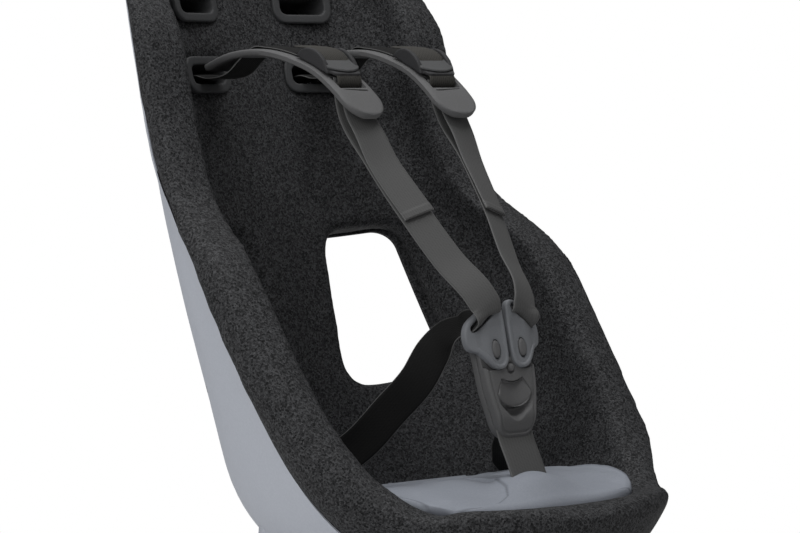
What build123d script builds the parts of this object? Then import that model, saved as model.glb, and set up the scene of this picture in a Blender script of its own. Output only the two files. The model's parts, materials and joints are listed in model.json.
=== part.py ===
from build123d import *
from math import atan2, cos, degrees, pi, radians, sin
import os

os.makedirs("parts", exist_ok=True)

# Child bike seat for the front of a bicycle. Sizes are in millimetres and angles in degrees.
# The seat is drawn round its hip point, where the back meets the seat pan on the centre line:
# X runs across, -Y is the way the child faces and Z is up. At the end every piece is moved so
# that the origin lies in the middle of the clamp on the bicycle's stem.

# Place of the seat on the stem
hip_behind_stem = 330.0
hip_above_clamp = 100.0

# Bucket: each station is (height, half width, place of the widest point, back, front)
shell_stations = [
    (-48, 72, -118, -30, -206),
    (-38, 104, -117, 4, -224),
    (-20, 130, -116, 33, -237),
    (5, 148, -114, 53, -247),
    (40, 160, -109, 67, -256),
    (90, 167.5, -91, 81, -256),
    (144, 169, -58, 94, -222),
    (200, 159, -6, 107, -120),
    (240, 150.5, 24, 116, -64),
    (300, 145, 49, 130, -30),
    (345, 143, 66, 142, -10),
    (375, 131, 84, 150, 20),
    (396, 108, 100, 155, 50),
    (414, 76, 110, 159, 70),
]
cavity_stations = [
    (-25, 106, -112, -9, -214),
    (0, 114, -112, 0, -222),
    (25, 119, -110, 9, -230),
    (60, 130, -105, 22, -270),
    (100, 134.5, -78, 36.5, -290),
    (145, 136, -48, 52, -260),
    (175, 133, -24, 61.5, -200),
    (200, 123, 10, 68.5, -130),
    (225, 116, 30, 75.5, -70),
    (270, 111.5, 50, 88, -30),
    (320, 110, 64, 101, 0),
    (350, 108, 76, 109, 15),
    (375, 98, 90, 115.5, 30),
    (396, 76, 100, 121, 50),
    (414, 46, 108, 125.5, 70),
]
shell_roundness = 2.0
cavity_roundness = 2.5
shell_thickness = 3.0
liner_gap = 0.9
under_gap = 0.4
edge_gap = 0.8
far = 600.0

# Side view of the foam rim, from the front lip up to the top of the back (Y, Z)
rim_line = [
    (-320, -4),
    (-262, 4),
    (-235, 8),
    (-205, 8),
    (-184, 11),
    (-168, 22),
    (-153, 38),
    (-136, 58),
    (-104, 101),
    (-72, 145),
    (-54, 168),
    (-24, 192),
    (2, 211),
    (20, 241),
    (33, 274),
    (40, 300),
    (47, 325),
    (60, 347),
    (82, 368),
    (112, 384),
    (150, 391),
    (200, 393),
]
# Side view of the shell's front edge
shell_edge_line = [
    (-320, -42),
    (-262, -40),
    (-200, -36),
    (-165, -26),
    (-138, -3),
    (-100, 50),
    (-41, 142),
    (-12, 178),
    (20, 211),
    (54, 279),
    (73, 346),
    (94, 364),
    (124, 373),
    (200, 377),
]

# Foam pan and the soft pad lying in it
pan_line = [
    (200, -30),
    (40, -12),
    (0, -9),
    (-60, 1),
    (-139, 12),
    (-170, 9),
    (-205, 1),
    (-240, -6),
    (-320, -14),
]
pad_top_line = [(40, -4), (0, 1), (-60, 10), (-139, 22.5), (-168, 20.5), (-205, 11), (-240, 2)]
pad_side_gap = 1.0
pad_under_gap = 0.4
pommel_centre = -190.0
pommel_size = (70.0, 56.0)
pommel_top = 27.5

# Vent openings in the lower corners of the back
vent_centre = (76.4, 30.6, 129.0)
vent_turn = 15.0
vent_recline = 18.0
vent_outline = [(-46, -60), (49, -53), (22, 63), (-45, 59)]
vent_corner_radius = 18.0

# Strap eyelets in the back
eyelet_offset = 52.5
eyelet_lower = (90.5, 296.0)
eyelet_upper = (104.0, 347.0)
eyelet_turn = 12.0
eyelet_recline = 15.0
eyelet_flange = (50.0, 27.0)
eyelet_opening = (38.0, 14.0)
eyelet_flange_thickness = 4.0
eyelet_proud = 2.0
eyelet_wall = 2.0
flange_corner = 10.0
sleeve_corner = 7.0
eyelet_depth = 37.5
eyelet_clearance = 0.3

# Webbing and the plates that keep its hemmed ends behind the shell
keeper_size = (44.0, 24.0)
keeper_thickness = 3.0
keeper_shift = -4.9
webbing_width = 25.0
webbing_thickness = 1.4
webbing_gap = 0.45
tail_gap = 0.8
tail_start = (-55.5, 275.0)
crotch_width = 34.0
crotch_thickness = 2.0
crotch_grip = 11.0
crotch_at = -181.0
lap_slot_at = (107.5, -52.0)

# Shoulder pads, drawn in side view at the pad's own centre plane
pad_root_offset = 52.5
pad_tip_offset = 45.0
shoulder_pad_line = [
    (80, 301),
    (62, 307.5),
    (40, 311),
    (16, 311),
    (-10, 306),
    (-34, 297),
    (-51, 285.5),
    (-71, 267.2),
]
shoulder_pad_thickness = 5.5
shoulder_pad_width = 38.0
shoulder_pad_root_width = 24.0
pad_slot = (28.0, 17.0)
front_slot_length = 12.0
front_slot_at = 0.805
rear_slot_at = 0.259
pad_tip_radius = 15.0

# Adjusters
adjuster_width = 33.0
adjuster_length = 33.0
adjuster_height = 9.5
adjuster_bar = 4.0
adjuster_at = 0.671
adjuster_cheek = 3.5
adjuster_bars = [12.0, 1.0, -11.0]
adjuster_tab = 9.0

# Buckle, drawn on its own front face
buckle_centre = (0.0, -162.5, 82.0)
buckle_lean = 12.6
buckle_top_width = 52.0
buckle_bottom_width = 43.0
buckle_top = 36.0
buckle_bottom = -31.0
buckle_front_depth = 7.0
buckle_back_depth = 6.0
buckle_seam = 0.2
buckle_bottom_radius = 13.0
buckle_top_radius = 6.0
buckle_edge_radius = 2.5
tongue_thickness = 5.4
tongue_proud = 2.4
tongue_clearance = 0.4
tongue_outline = [
    (1.6, 24),
    (1.6, 51),
    (6, 63),
    (12, 67),
    (34, 54),
    (37, 46),
    (35, 33),
    (30, 22),
    (21, 16),
    (10, 16),
]
tongue_slot_centre = (20.5, 54.0)
tongue_slot_angle = -31.0
tongue_slot = (26.6, 7.2)
tongue_corner_radius = 2.2
tongue_edge_radius = 1.2
stud_gap = 0.3
stud_rise = 0.4
stud_dome = 1.8
stud_centre = (13.0, 29.5)
stud_size = (7.5, 12.5)
rivet_centre = (0.0, 16.5)
rivet_radius = 3.0
rivet_rise = 1.6
rivet_gap = 0.3
button_outline = [(-10, 9), (0, 6.5), (10, 9), (16.5, -1), (12, -7), (0, -10.5), (-12, -7), (-16.5, -1)]
button_clearance = 0.5
button_proud = 0.8
button_travel = 1.8
button_stop_gap = 0.2
scoop_depth = 4.5
scoop_centre = -9.0
scoop_radius = 16.0
spring_radius = 3.6
spring_wire = 0.45
spring_turns = 3.0
spring_pocket = 3.0
spring_side_gap = 0.4
spring_end_gap = 0.15

# Leg guards and footrests
guard_inside = 92.0
guard_outside = 150.0
guard_front = -196.0
guard_back = -142.0
guard_bottom = -228.0
guard_wall = 3.5
guard_corner = 12.0
flange_inner = 36.0
flange_length = 46.0
flange_thickness = 4.5
screw_radius = 2.5
running_clearance = 0.05
screw_head = 3.0
screw_length = 16.0
head_gap = 0.3
screw_spacing = 26.0
screw_inset = 12.0
rail_width = 16.0
rail_slot_top = -86.0
rail_slot_bottom = -218.0
footrest_clearance = 0.35
footrest_level = -192.0
footrest_floor = 5.0
footrest_front = -242.0
tray_wall = 3.5
tray_height = 40.0
boss_height = 20.0
knob_radius = 13.0
knob_depth = 11.0
knob_reach = 5.5
foot_strap_width = 22.0
foot_strap_thickness = 2.5
foot_strap_rise = 30.0

# Steel arm, stem clamp and lock
arm_width = 32.0
arm_thickness = 8.0
arm_rear = -44.0
arm_bend_rear = -150.0
arm_bend_front = -216.0
arm_front = -308.0
arm_bolt_places = [-62.0, -96.0, -130.0]
arm_bolt_length = 26.0
socket_clearance = 0.4
notch_front = -277.0
notch_depth = 3.0
notch_length = 20.0
clamp_radius = 14.3
clamp_half_width = 31.0
clamp_half_height = 22.0
clamp_rear_depth = 46.0
clamp_front_depth = 27.0
clamp_split = 2.0
clamp_corner = 8.0
clamp_bolt_x = 23.0
clamp_bolt_z = 13.0
clamp_bolt_length = 54.0
bolt_radius = 3.0
bolt_head = 5.0
bolt_head_radius = 5.0
bolt_hole_clearance = 0.4
nut_radius = 5.7
nut_height = 5.0
lever_pivot = (-296.0, -66.0)
lever_pin_radius = 2.5
lever_width = 20.0
lever_side_clearance = 0.4
lever_lug = 5.0
lug_radius = 6.5
lever_handle_end = -248.0
hook_length = 8.0

# Bosses under the shell for the lap straps
lap_boss = (16.0, 46.0)
lap_boss_bottom = -42.0


def oval(height, half_width, widest, back, front, roundness):
    """One level of the bucket: a rounded rear arc and a rounded front arc."""
    steps = [i * pi / 10 for i in range(11)]
    rear = []
    fore = []
    for step in steps:
        across = abs(cos(step)) ** (2 / roundness) * (1 if cos(step) >= 0 else -1)
        along = max(sin(step), 0) ** (2 / roundness)
        rear.append((half_width * across, widest + (back - widest) * along))
        fore.append((-half_width * across, widest + (front - widest) * along))
    rear_arc = Spline(*rear, tangents=[(0, 1), (0, -1)])
    front_arc = Spline(*fore, tangents=[(0, -1), (0, 1)])
    return Pos(0, 0, height) * make_face([rear_arc, front_arc])


def bucket(stations, roundness, inset=0.0):
    """Solid through all levels, drawn in by the inset and more so under the bottom."""
    levels = []
    for height, half_width, widest, back, front in stations:
        draw_in = inset * (1.8 if height < -30 else 1.0)
        lift = inset if height == stations[0][0] else 0.0
        level = (height + lift, half_width - draw_in, widest, back - draw_in, front + draw_in)
        levels.append(oval(*level, roundness))
    return loft(levels)


def side_slab(line, level):
    """Solid with the same side view all across: all that lies between a (Y, Z) curve and a level."""
    curve = Spline(*line)
    rest = Polyline(line[-1], (line[-1][0], level), (line[0][0], level), line[0])
    return extrude(Plane.YZ * make_face([curve, rest]), far, both=True)


def band(path, thickness, count=14):
    """Flat face that follows a side-view path with an even thickness."""
    upper = []
    lower = []
    for i in range(count):
        place = path @ (i / (count - 1))
        along = path % (i / (count - 1))
        normal = Vector(-along.Y, along.X, 0)
        upper.append(place + normal * (thickness / 2))
        lower.append(place - normal * (thickness / 2))
    top = Spline(*upper)
    bottom = Spline(*lower)
    ends = [Line(upper[0], lower[0]), Line(upper[-1], lower[-1])]
    return make_face([top, bottom] + ends)


def ribbon(stations, width, thickness):
    """Webbing through stations of (centre, direction across, direction along)."""
    cuts = []
    for centre, across, along in stations:
        cuts.append(Plane(origin=centre, x_dir=across, z_dir=along) * Rectangle(width, thickness))
    return loft(cuts)


def mirrored(piece):
    return mirror(piece, about=Plane.YZ)


parts = {}

# Bucket of plastic shell and foam liner, with slots and holes for straps, screws and bolts added below
outside = bucket(shell_stations, shell_roundness)
core = bucket(shell_stations, shell_roundness, shell_thickness + liner_gap)
shell_inner = bucket(shell_stations, shell_roundness, shell_thickness)
cavity = bucket(cavity_stations, cavity_roundness)
below_rim = side_slab(rim_line, -far)
behind_edge = side_slab(shell_edge_line, -far)
gap_line = [(y - edge_gap, z + edge_gap) for y, z in shell_edge_line]
behind_gap = side_slab(gap_line, -far)
above_pan = side_slab(pan_line, far)
liner_band = (outside & below_rim) - behind_gap
liner_core = core & below_rim
foam_liner = liner_band + liner_core - (cavity & above_pan)
outer_shell = (outside - shell_inner) & behind_edge

# Vent openings, cut square to the lower corners of the back
vent_normal = (
    sin(radians(vent_turn)) * cos(radians(vent_recline)),
    cos(radians(vent_turn)) * cos(radians(vent_recline)),
    -sin(radians(vent_recline)),
)
vent_across = (cos(radians(vent_turn)), -sin(radians(vent_turn)), 0)
vent_plane = Plane(origin=vent_centre, x_dir=vent_across, z_dir=vent_normal)
vent_face = make_face(Polyline(*[(x, -y) for x, y in vent_outline], close=True))
vent_face = fillet(vent_face.vertices(), vent_corner_radius)
vent_right = extrude(vent_plane.offset(-45) * vent_face, 155)


def eyelet_plane(place):
    """Plane on the back's surface at a right-hand eyelet, its normal pointing out to the child."""
    turn = radians(eyelet_turn)
    lean = radians(eyelet_recline)
    normal = (-sin(turn) * cos(lean), -cos(turn) * cos(lean), sin(lean))
    across = (cos(turn), -sin(turn), 0)
    return Plane(origin=(eyelet_offset, place[0], place[1]), x_dir=across, z_dir=normal)


sleeve_size = (eyelet_opening[0] + 2 * eyelet_wall, eyelet_opening[1] + 2 * eyelet_wall)
eyelet_cuts = []
for row_name, place in (("lower", eyelet_lower), ("upper", eyelet_upper)):
    face = eyelet_plane(place)
    front = face.offset(eyelet_proud)
    flange = extrude(front * RectangleRounded(*eyelet_flange, flange_corner), -eyelet_flange_thickness)
    sleeve = extrude(front * RectangleRounded(*sleeve_size, sleeve_corner), -eyelet_depth)
    opening = RectangleRounded(*eyelet_opening, sleeve_corner - eyelet_wall)
    opening = extrude(face.offset(eyelet_proud + 1) * opening, -eyelet_depth - 2)
    eyelet = flange + sleeve - opening
    parts[f"eyelet_{row_name}_right"] = eyelet
    parts[f"eyelet_{row_name}_left"] = mirrored(eyelet)
    flange_room = [size + 2 * eyelet_clearance for size in eyelet_flange]
    sleeve_room = [size + 2 * eyelet_clearance for size in sleeve_size]
    flange_cut = RectangleRounded(*flange_room, flange_corner + eyelet_clearance)
    sleeve_cut = RectangleRounded(*sleeve_room, sleeve_corner + eyelet_clearance)
    pocket_floor = eyelet_flange_thickness + eyelet_clearance
    eyelet_cuts.append(extrude(face.offset(eyelet_proud - pocket_floor) * flange_cut, 30))
    eyelet_cuts.append(extrude(front * sleeve_cut, -120))

# Soft pad lying in the pan, with a pommel round the crotch strap
pad_space = bucket(cavity_stations, cavity_roundness, pad_side_gap)
floor_line = [(y, z + pad_under_gap) for y, z in pan_line]
over_floor = side_slab(floor_line, far)
under_top = side_slab(pad_top_line, -far)
seat_pad = pad_space & over_floor & under_top
pommel_levels = [
    Pos(0, pommel_centre, 6) * Ellipse(pommel_size[0] / 2, pommel_size[1] / 2),
    Pos(0, pommel_centre, pommel_top - 5) * Ellipse(pommel_size[0] * 0.4, pommel_size[1] * 0.4),
    Pos(0, pommel_centre, pommel_top) * Ellipse(pommel_size[0] * 0.24, pommel_size[1] * 0.24),
]
seat_pad = seat_pad + (loft(pommel_levels) & pad_space & over_floor)

# Shoulder pads, adjusters and upper webbing, drawn in side view and swung to the pad's own line
pad_run = shoulder_pad_line[0][0] - shoulder_pad_line[-1][0]
pad_swing = -degrees(atan2(pad_root_offset - pad_tip_offset, pad_run))
pad_root_y = shoulder_pad_line[0][0]
harness_place = Pos(pad_root_offset, pad_root_y, 0) * Rot(0, 0, pad_swing) * Pos(0, -pad_root_y, 0)
pad_path = Spline(*shoulder_pad_line)


def on_pad(share, rise):
    """Side-view point at a share of the pad's length, raised off its middle line."""
    place = pad_path @ share
    along = pad_path % share
    return (place.X + along.Y * rise, place.Y - along.X * rise)


def pad_frame(share, rise):
    """Location on the pad: its -Y runs forward along the pad and its Z stands off it."""
    along = pad_path % share
    slope = degrees(atan2(-along.Y, -along.X))
    place = on_pad(share, rise)
    return Pos(0, place[0], place[1]) * Rot(slope, 0, 0)


pad_blank = extrude(Plane.YZ * band(pad_path, shoulder_pad_thickness), shoulder_pad_width, both=True)
half_root = shoulder_pad_root_width / 2
half_pad = shoulder_pad_width / 2
tip_y = shoulder_pad_line[-1][0]
pad_points = [
    (-half_root, 90),
    (half_root, 90),
    (half_pad, 30),
    (half_pad, tip_y - 1.5),
    (-half_pad, tip_y - 1.5),
    (-half_pad, 30),
]
pad_plan = make_face(Polyline(*pad_points, close=True))
pad_plan = fillet(pad_plan.vertices().group_by(Axis.Y)[0], pad_tip_radius)
pad_plan = fillet(pad_plan.vertices().filter_by(lambda v: abs(v.Y - 30) < 1), pad_tip_radius)
shoulder_pad = pad_blank & extrude(Pos(0, 0, 200) * pad_plan, 200)
front_slot = pad_frame(front_slot_at, 0) * Box(pad_slot[0], front_slot_length, 40)
rear_slot = pad_frame(rear_slot_at, 0) * Box(pad_slot[0], pad_slot[1], 40)
shoulder_pad = shoulder_pad - front_slot - rear_slot
shoulder_pad = harness_place * shoulder_pad

adjuster_lift = shoulder_pad_thickness / 2 + webbing_gap
half_length = adjuster_length / 2
cheek_line = Spline(
    (half_length, 0),
    (half_length * 0.5, adjuster_height),
    (-half_length * 0.4, adjuster_height * 0.9),
    (-half_length, 0),
)
cheek_face = make_face([cheek_line, Line((-half_length, 0), (half_length, 0))])
adjuster = extrude(Plane.YZ * cheek_face, adjuster_width / 2, both=True)
adjuster = adjuster - Box(adjuster_width - 2 * adjuster_cheek, adjuster_length * 2, 60)
bar_length = adjuster_width - adjuster_cheek
for bar_y in adjuster_bars:
    bar = Rot(0, 90, 0) * Cylinder(adjuster_bar / 2, bar_length)
    adjuster = adjuster + Pos(0, bar_y, adjuster_bar / 2 + 1.0) * bar
tab = Pos(0, -half_length - adjuster_tab / 2 + 4, 1.6) * Box(adjuster_width - 6, adjuster_tab, 2.4)
adjuster = adjuster + fillet(tab.edges().filter_by(Axis.Z).group_by(Axis.Y)[0], 4)
adjuster = harness_place * pad_frame(adjuster_at, adjuster_lift) * adjuster

webbing_rise = shoulder_pad_thickness / 2 + webbing_thickness / 2 + webbing_gap
axis_slope = (-sin(radians(eyelet_recline)), cos(radians(eyelet_recline)))


def on_eyelet_axis(depth):
    """Side-view point on the line through the lower eyelet, the depth measured to the rear."""
    return (eyelet_lower[0] + axis_slope[1] * depth, eyelet_lower[1] + axis_slope[0] * depth)


hem_depth = eyelet_depth - eyelet_proud + keeper_thickness + 9.0
anchor_line = [
    on_eyelet_axis(hem_depth),
    on_eyelet_axis(hem_depth - 22),
    on_eyelet_axis(2),
    (78, 293.5),
    (58, 297),
    on_pad(rear_slot_at - 0.046, -webbing_rise),
    on_pad(rear_slot_at, 0),
    on_pad(rear_slot_at + 0.046, webbing_rise),
    on_pad(rear_slot_at + 0.12, webbing_rise),
    on_pad(rear_slot_at + 0.19, webbing_rise),
    on_pad(rear_slot_at + 0.26, webbing_rise),
    on_pad(adjuster_at - 0.105, webbing_rise),
]
anchor_band = band(Spline(*anchor_line), webbing_thickness, 44)
anchor_strap = extrude(Plane.YZ * anchor_band, webbing_width / 2, both=True)
anchor_hem = Pos(0, *on_eyelet_axis(hem_depth)) * Rot(-eyelet_recline, 0, 0) * Box(webbing_width, 8, 6)
anchor_strap = harness_place * (anchor_strap + anchor_hem)
keeper_level = eyelet_depth - eyelet_proud + eyelet_clearance + keeper_thickness / 2
keeper_plane = eyelet_plane(eyelet_lower).offset(-keeper_level)
keeper_slot = Box(webbing_width + 3, webbing_thickness + 2.4, 20)
keeper_plate = Box(*keeper_size, keeper_thickness) - keeper_slot
shoulder_keeper = keeper_plane * Pos(keeper_shift, 0, 0) * keeper_plate

# Buckle on the lower end of the harness
lean = radians(buckle_lean)
buckle_up = Vector(0, sin(lean), cos(lean))
buckle_normal = Vector(0, -cos(lean), sin(lean))
buckle_plane = Plane(origin=buckle_centre, x_dir=(1, 0, 0), z_dir=buckle_normal)


def on_buckle(across, up, out):
    """Point measured on the buckle's front face."""
    return Vector(*buckle_centre) + Vector(across, 0, 0) + buckle_up * up + buckle_normal * out


top_half = buckle_top_width / 2
bottom_half = buckle_bottom_width / 2
body_points = [
    (-top_half, buckle_top),
    (top_half, buckle_top),
    (bottom_half, buckle_bottom),
    (-bottom_half, buckle_bottom),
]
body_face = make_face(Polyline(*body_points, close=True))
body_face = fillet(body_face.vertices().group_by(Axis.Y)[0], buckle_bottom_radius)
body_face = fillet(body_face.vertices().group_by(Axis.Y)[-1], buckle_top_radius)
front_half = extrude(body_face, -buckle_front_depth)
front_half = fillet(front_half.faces().sort_by(Axis.Z)[-1].edges(), buckle_edge_radius)
back_half = extrude(Pos(0, 0, -buckle_front_depth - buckle_seam) * body_face, -buckle_back_depth)
back_half = fillet(back_half.faces().sort_by(Axis.Z)[0].edges(), buckle_edge_radius)

tongue_face = make_face(Polyline(*tongue_outline, close=True))
tongue_face = fillet(tongue_face.vertices(), tongue_corner_radius)
tongue_low = tongue_proud - tongue_thickness
tongue = extrude(Pos(0, 0, tongue_low) * tongue_face, tongue_thickness)
tongue = fillet(tongue.faces().sort_by(Axis.Z)[-1].edges(), tongue_edge_radius)
slot_place = Pos(*tongue_slot_centre) * Rot(0, 0, tongue_slot_angle)
tongue = tongue - slot_place * Box(tongue_slot[0], tongue_slot[1], 40)
stud_place = Pos(*stud_centre, tongue_low)
stud_hole = Ellipse(stud_size[0] / 2 + stud_gap, stud_size[1] / 2 + stud_gap)
tongue = tongue - extrude(stud_place * stud_hole, 40, both=True)
stud = extrude(stud_place * Ellipse(stud_size[0] / 2, stud_size[1] / 2), tongue_thickness + stud_rise)
stud = fillet(stud.faces().sort_by(Axis.Z)[-1].edges(), stud_dome)

tongue_pocket = offset(tongue_face, tongue_clearance)
pocket = extrude(Pos(0, 0, tongue_low - tongue_clearance) * tongue_pocket, 30)
front_half = front_half - pocket - mirrored(pocket)
middle_cut = Pos(0, buckle_top, tongue_low - tongue_clearance + 15) * Box(12, 2 * (buckle_top - 24), 30)
front_half = front_half - middle_cut


def button_shape(grow):
    """Outline of the release button, let out from its middle."""
    points = []
    for across, up in button_outline:
        share = 1 + grow / (across**2 + up**2) ** 0.5
        points.append((across * share, up * share))
    upper_edge = Spline(*points[0:3])
    right_edge = Line(points[2], points[3])
    lower_edge = Spline(*points[3:])
    left_edge = Line(points[-1], points[0])
    return make_face([upper_edge, right_edge, lower_edge, left_edge])


back_face = -buckle_front_depth - buckle_seam
button_low = back_face + button_travel + button_stop_gap
button = extrude(Pos(0, 0, button_low) * button_shape(0), button_proud - button_low)
button = fillet(button.faces().sort_by(Axis.Z)[-1].edges(), 1.2)
front_half = front_half - extrude(button_shape(button_clearance), 40, both=True)
scoop = Pos(0, scoop_centre, scoop_radius - scoop_depth) * Sphere(scoop_radius)
front_half = front_half - (scoop - Pos(0, 30, 0) * Box(80, 60, 80))
rivet_hole = Pos(*rivet_centre, 0) * Cylinder(rivet_radius + rivet_gap, 40)
front_half = front_half - rivet_hole
rivet_shank = buckle_front_depth + rivet_rise
rivet = Pos(*rivet_centre, rivet_rise - rivet_shank / 2) * Cylinder(rivet_radius, rivet_shank)
rivet = fillet(rivet.faces().sort_by(Axis.Z)[-1].edges(), rivet_radius * 0.7)

spring_room = Cylinder(spring_radius + spring_wire + spring_side_gap, 2 * spring_pocket)
back_half = back_half - Pos(0, 0, back_face) * spring_room
spring_top = button_low - spring_end_gap - spring_wire
spring_bottom = back_face - spring_pocket + spring_end_gap + spring_wire
spring_height = spring_top - spring_bottom
coil = Helix(pitch=spring_height / spring_turns, height=spring_height, radius=spring_radius)
wire_end = Plane(origin=coil @ 0, z_dir=coil % 0) * Circle(spring_wire)
spring = Pos(0, 0, spring_bottom) * sweep(wire_end, path=coil)

strap_mouth = Box(crotch_width + 1.2, 2 * crotch_grip, crotch_thickness + 1.6)
strap_mouth = Pos(0, buckle_bottom, -buckle_front_depth) * strap_mouth
front_half = front_half - strap_mouth
back_half = back_half - strap_mouth

to_buckle = buckle_plane.location

# Webbing from the adjusters through the tongues to the rear corners of the pan
slot_turn = radians(tongue_slot_angle)
slot_across = Vector(cos(slot_turn), 0, 0) + buckle_up * sin(slot_turn)


def harness_point(y, z):
    """Point of the side view carried to the pad's own plane on the right side."""
    turned = harness_place * Pos(0, y, z)
    return turned.position


def webbing(points, acrosses, width, thickness):
    """Webbing through points, turned to the given directions across."""
    cuts = []
    for i, point in enumerate(points):
        before = Vector(points[max(i - 1, 0)])
        after = Vector(points[min(i + 1, len(points) - 1)])
        cuts.append((Vector(point), Vector(acrosses[i]), (after - before).normalized()))
    return ribbon(cuts, width, thickness)


slot_middle = on_buckle(*tongue_slot_centre, 0)
slot_front = slot_middle + buckle_normal * (tongue_proud + 3) + buckle_up * 5
slot_deep = slot_middle + buckle_normal * (tongue_proud - 2.2) + buckle_up * 0.8
flat = Vector(1, 0, 0)
strap_points = [
    harness_point(*on_pad(front_slot_at - 0.02, adjuster_lift - 1.2)),
    harness_point(*on_pad(front_slot_at, 0)),
    harness_point(-52, 268),
    Vector(40, -74, 236),
    Vector(36, -86.5, 218.5),
    Vector(31.8, -100, 200.5),
    Vector(26, -125.5, 170.5),
    slot_front,
    slot_deep,
]
strap_acrosses = [
    flat,
    flat,
    flat,
    Vector(1, 0, -0.1),
    Vector(1, 0, -0.17),
    Vector(1, 0, -0.25),
    Vector(1, 0, -0.4),
    slot_across,
    slot_across,
]
shoulder_strap = webbing(strap_points, strap_acrosses, webbing_width, webbing_thickness)

# The loose end comes from under the pad and lies along the front of the strap
tail_points = [harness_point(*tail_start)]
for i in (3, 4, 5):
    along = (strap_points[i + 1] - strap_points[i - 1]).normalized()
    forward = along.cross(strap_acrosses[i]).normalized()
    tail_points.append(strap_points[i] + forward * (webbing_thickness + tail_gap))
tail_strap = webbing(tail_points, strap_acrosses[2:6], webbing_width, webbing_thickness)

lap_x, lap_y = lap_slot_at
slot_rear = slot_middle + buckle_normal * (tongue_low - 1.0) - buckle_up * 0.8
lap_points = [
    slot_middle + buckle_normal * (tongue_proud - 3.2) + buckle_up * 0.4,
    slot_rear,
    Vector(31, -137, 131),
    Vector(43, -124, 119),
    Vector(62, -122, 100),
    Vector(84, -118, 80),
    Vector(101, -97, 54),
    Vector(106.5, -68, 36),
    Vector(lap_x, lap_y - 2.5, 20),
    Vector(lap_x, lap_y, 6),
    Vector(lap_x, lap_y, -8),
    Vector(lap_x, lap_y, -22),
    Vector(lap_x, lap_y, -36),
    Vector(lap_x, lap_y, -50),
]
lap_acrosses = [
    slot_across,
    slot_across,
    Vector(0.75, -0.3, -0.6),
    Vector(0.6, -0.5, -0.6),
    Vector(0.55, -0.58, -0.58),
    Vector(0.4, -0.7, -0.5),
    Vector(0.1, -0.85, -0.4),
    Vector(0, -1, -0.2),
    Vector(0, -1, 0),
    Vector(0, -1, 0),
    Vector(0, -1, 0),
    Vector(0, -1, 0),
    Vector(0, -1, 0),
    Vector(0, -1, 0),
]
lap_strap = webbing(lap_points, lap_acrosses, webbing_width, webbing_thickness)
lap_hem = Pos(lap_x, lap_y, lap_boss_bottom - 8.5) * Box(6, webbing_width, 7)
lap_strap = lap_strap + lap_hem
lap_keeper = Box(18, 42, keeper_thickness) - Box(webbing_thickness + 2, webbing_width + 2, 20)
lap_keeper = Pos(lap_x, lap_y, lap_boss_bottom - under_gap - keeper_thickness / 2) * lap_keeper

pan_bottom = shell_stations[0][0]
crotch_mouth = on_buckle(0, buckle_bottom - 3, -buckle_front_depth)
crotch_end = on_buckle(0, buckle_bottom + crotch_grip - 1, -buckle_front_depth)
crotch_bend = 20.0
crotch_rise = Line((crotch_at, pan_bottom - 8), (crotch_at, crotch_bend))
crotch_turn = Spline(
    (crotch_at, crotch_bend),
    (crotch_at + 5, crotch_bend + 17),
    (crotch_mouth.Y, crotch_mouth.Z),
    tangents=[(0, 1), (buckle_up.Y, buckle_up.Z)],
)
crotch_lead = Line((crotch_mouth.Y, crotch_mouth.Z), (crotch_end.Y, crotch_end.Z))
crotch_strap = extrude(Plane.YZ * band(crotch_rise, crotch_thickness, 2), crotch_width / 2, both=True)
for stretch, count in ((crotch_turn, 16), (crotch_lead, 2)):
    stretch_face = Plane.YZ * band(stretch, crotch_thickness, count)
    crotch_strap = crotch_strap + extrude(stretch_face, crotch_width / 2, both=True)
crotch_strap = crotch_strap + Pos(0, crotch_at, pan_bottom - 8.5) * Box(crotch_width, 7, 7)
crotch_keeper = Box(crotch_width + 16, 24, keeper_thickness) - Box(crotch_width + 2, crotch_thickness + 2, 20)
crotch_keeper = Pos(0, crotch_at, pan_bottom - under_gap - keeper_thickness / 2) * crotch_keeper


# Leg guards: channels open to the front, screwed under the shell
under_pan = pan_bottom - under_gap
guard_middle = (guard_inside + guard_outside) / 2
guard_width = guard_outside - guard_inside
guard_depth = guard_back - guard_front
guard_plan = RectangleRounded(guard_width, guard_depth, guard_corner)
guard_plan = Pos(guard_middle, guard_back - guard_depth / 2) * guard_plan
channel_width = guard_width - 2 * guard_wall
channel_depth = 2 * guard_depth
channel_place = Pos(guard_middle, guard_back - guard_wall - channel_depth / 2)
channel = channel_place * RectangleRounded(channel_width, channel_depth, guard_corner - guard_wall)
leg_guard = extrude(Pos(0, 0, guard_bottom) * (guard_plan - channel), under_pan - guard_bottom)
flange_width = guard_inside + guard_wall - flange_inner
flange_y = guard_back - flange_length / 2
flange_place = Pos(flange_inner + flange_width / 2, flange_y, under_pan - flange_thickness / 2)
leg_guard = leg_guard + flange_place * Box(flange_width, flange_length, flange_thickness)
slot_height = rail_slot_top - rail_slot_bottom
slot_place = Pos(guard_middle, guard_back, rail_slot_bottom + slot_height / 2)
leg_guard = leg_guard - slot_place * Box(rail_width, 4 * guard_wall, slot_height)

screw_head_z = under_pan - flange_thickness - head_gap - screw_head / 2
screw_shank_z = screw_head_z + screw_length / 2
guard_screws = []
screw_holes = []
for y in (flange_y - screw_spacing / 2, flange_y + screw_spacing / 2):
    place = Pos(flange_inner + screw_inset, y, 0)
    head = place * Pos(0, 0, screw_head_z) * Cylinder(2 * screw_radius, screw_head)
    shank = place * Pos(0, 0, screw_shank_z) * Cylinder(screw_radius, screw_length)
    guard_screws.append(head + shank)
    hole = Cylinder(screw_radius + bolt_hole_clearance, screw_length + 4)
    screw_holes.append(place * Pos(0, 0, screw_shank_z) * hole)
for hole in screw_holes:
    leg_guard = leg_guard - hole

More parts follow.
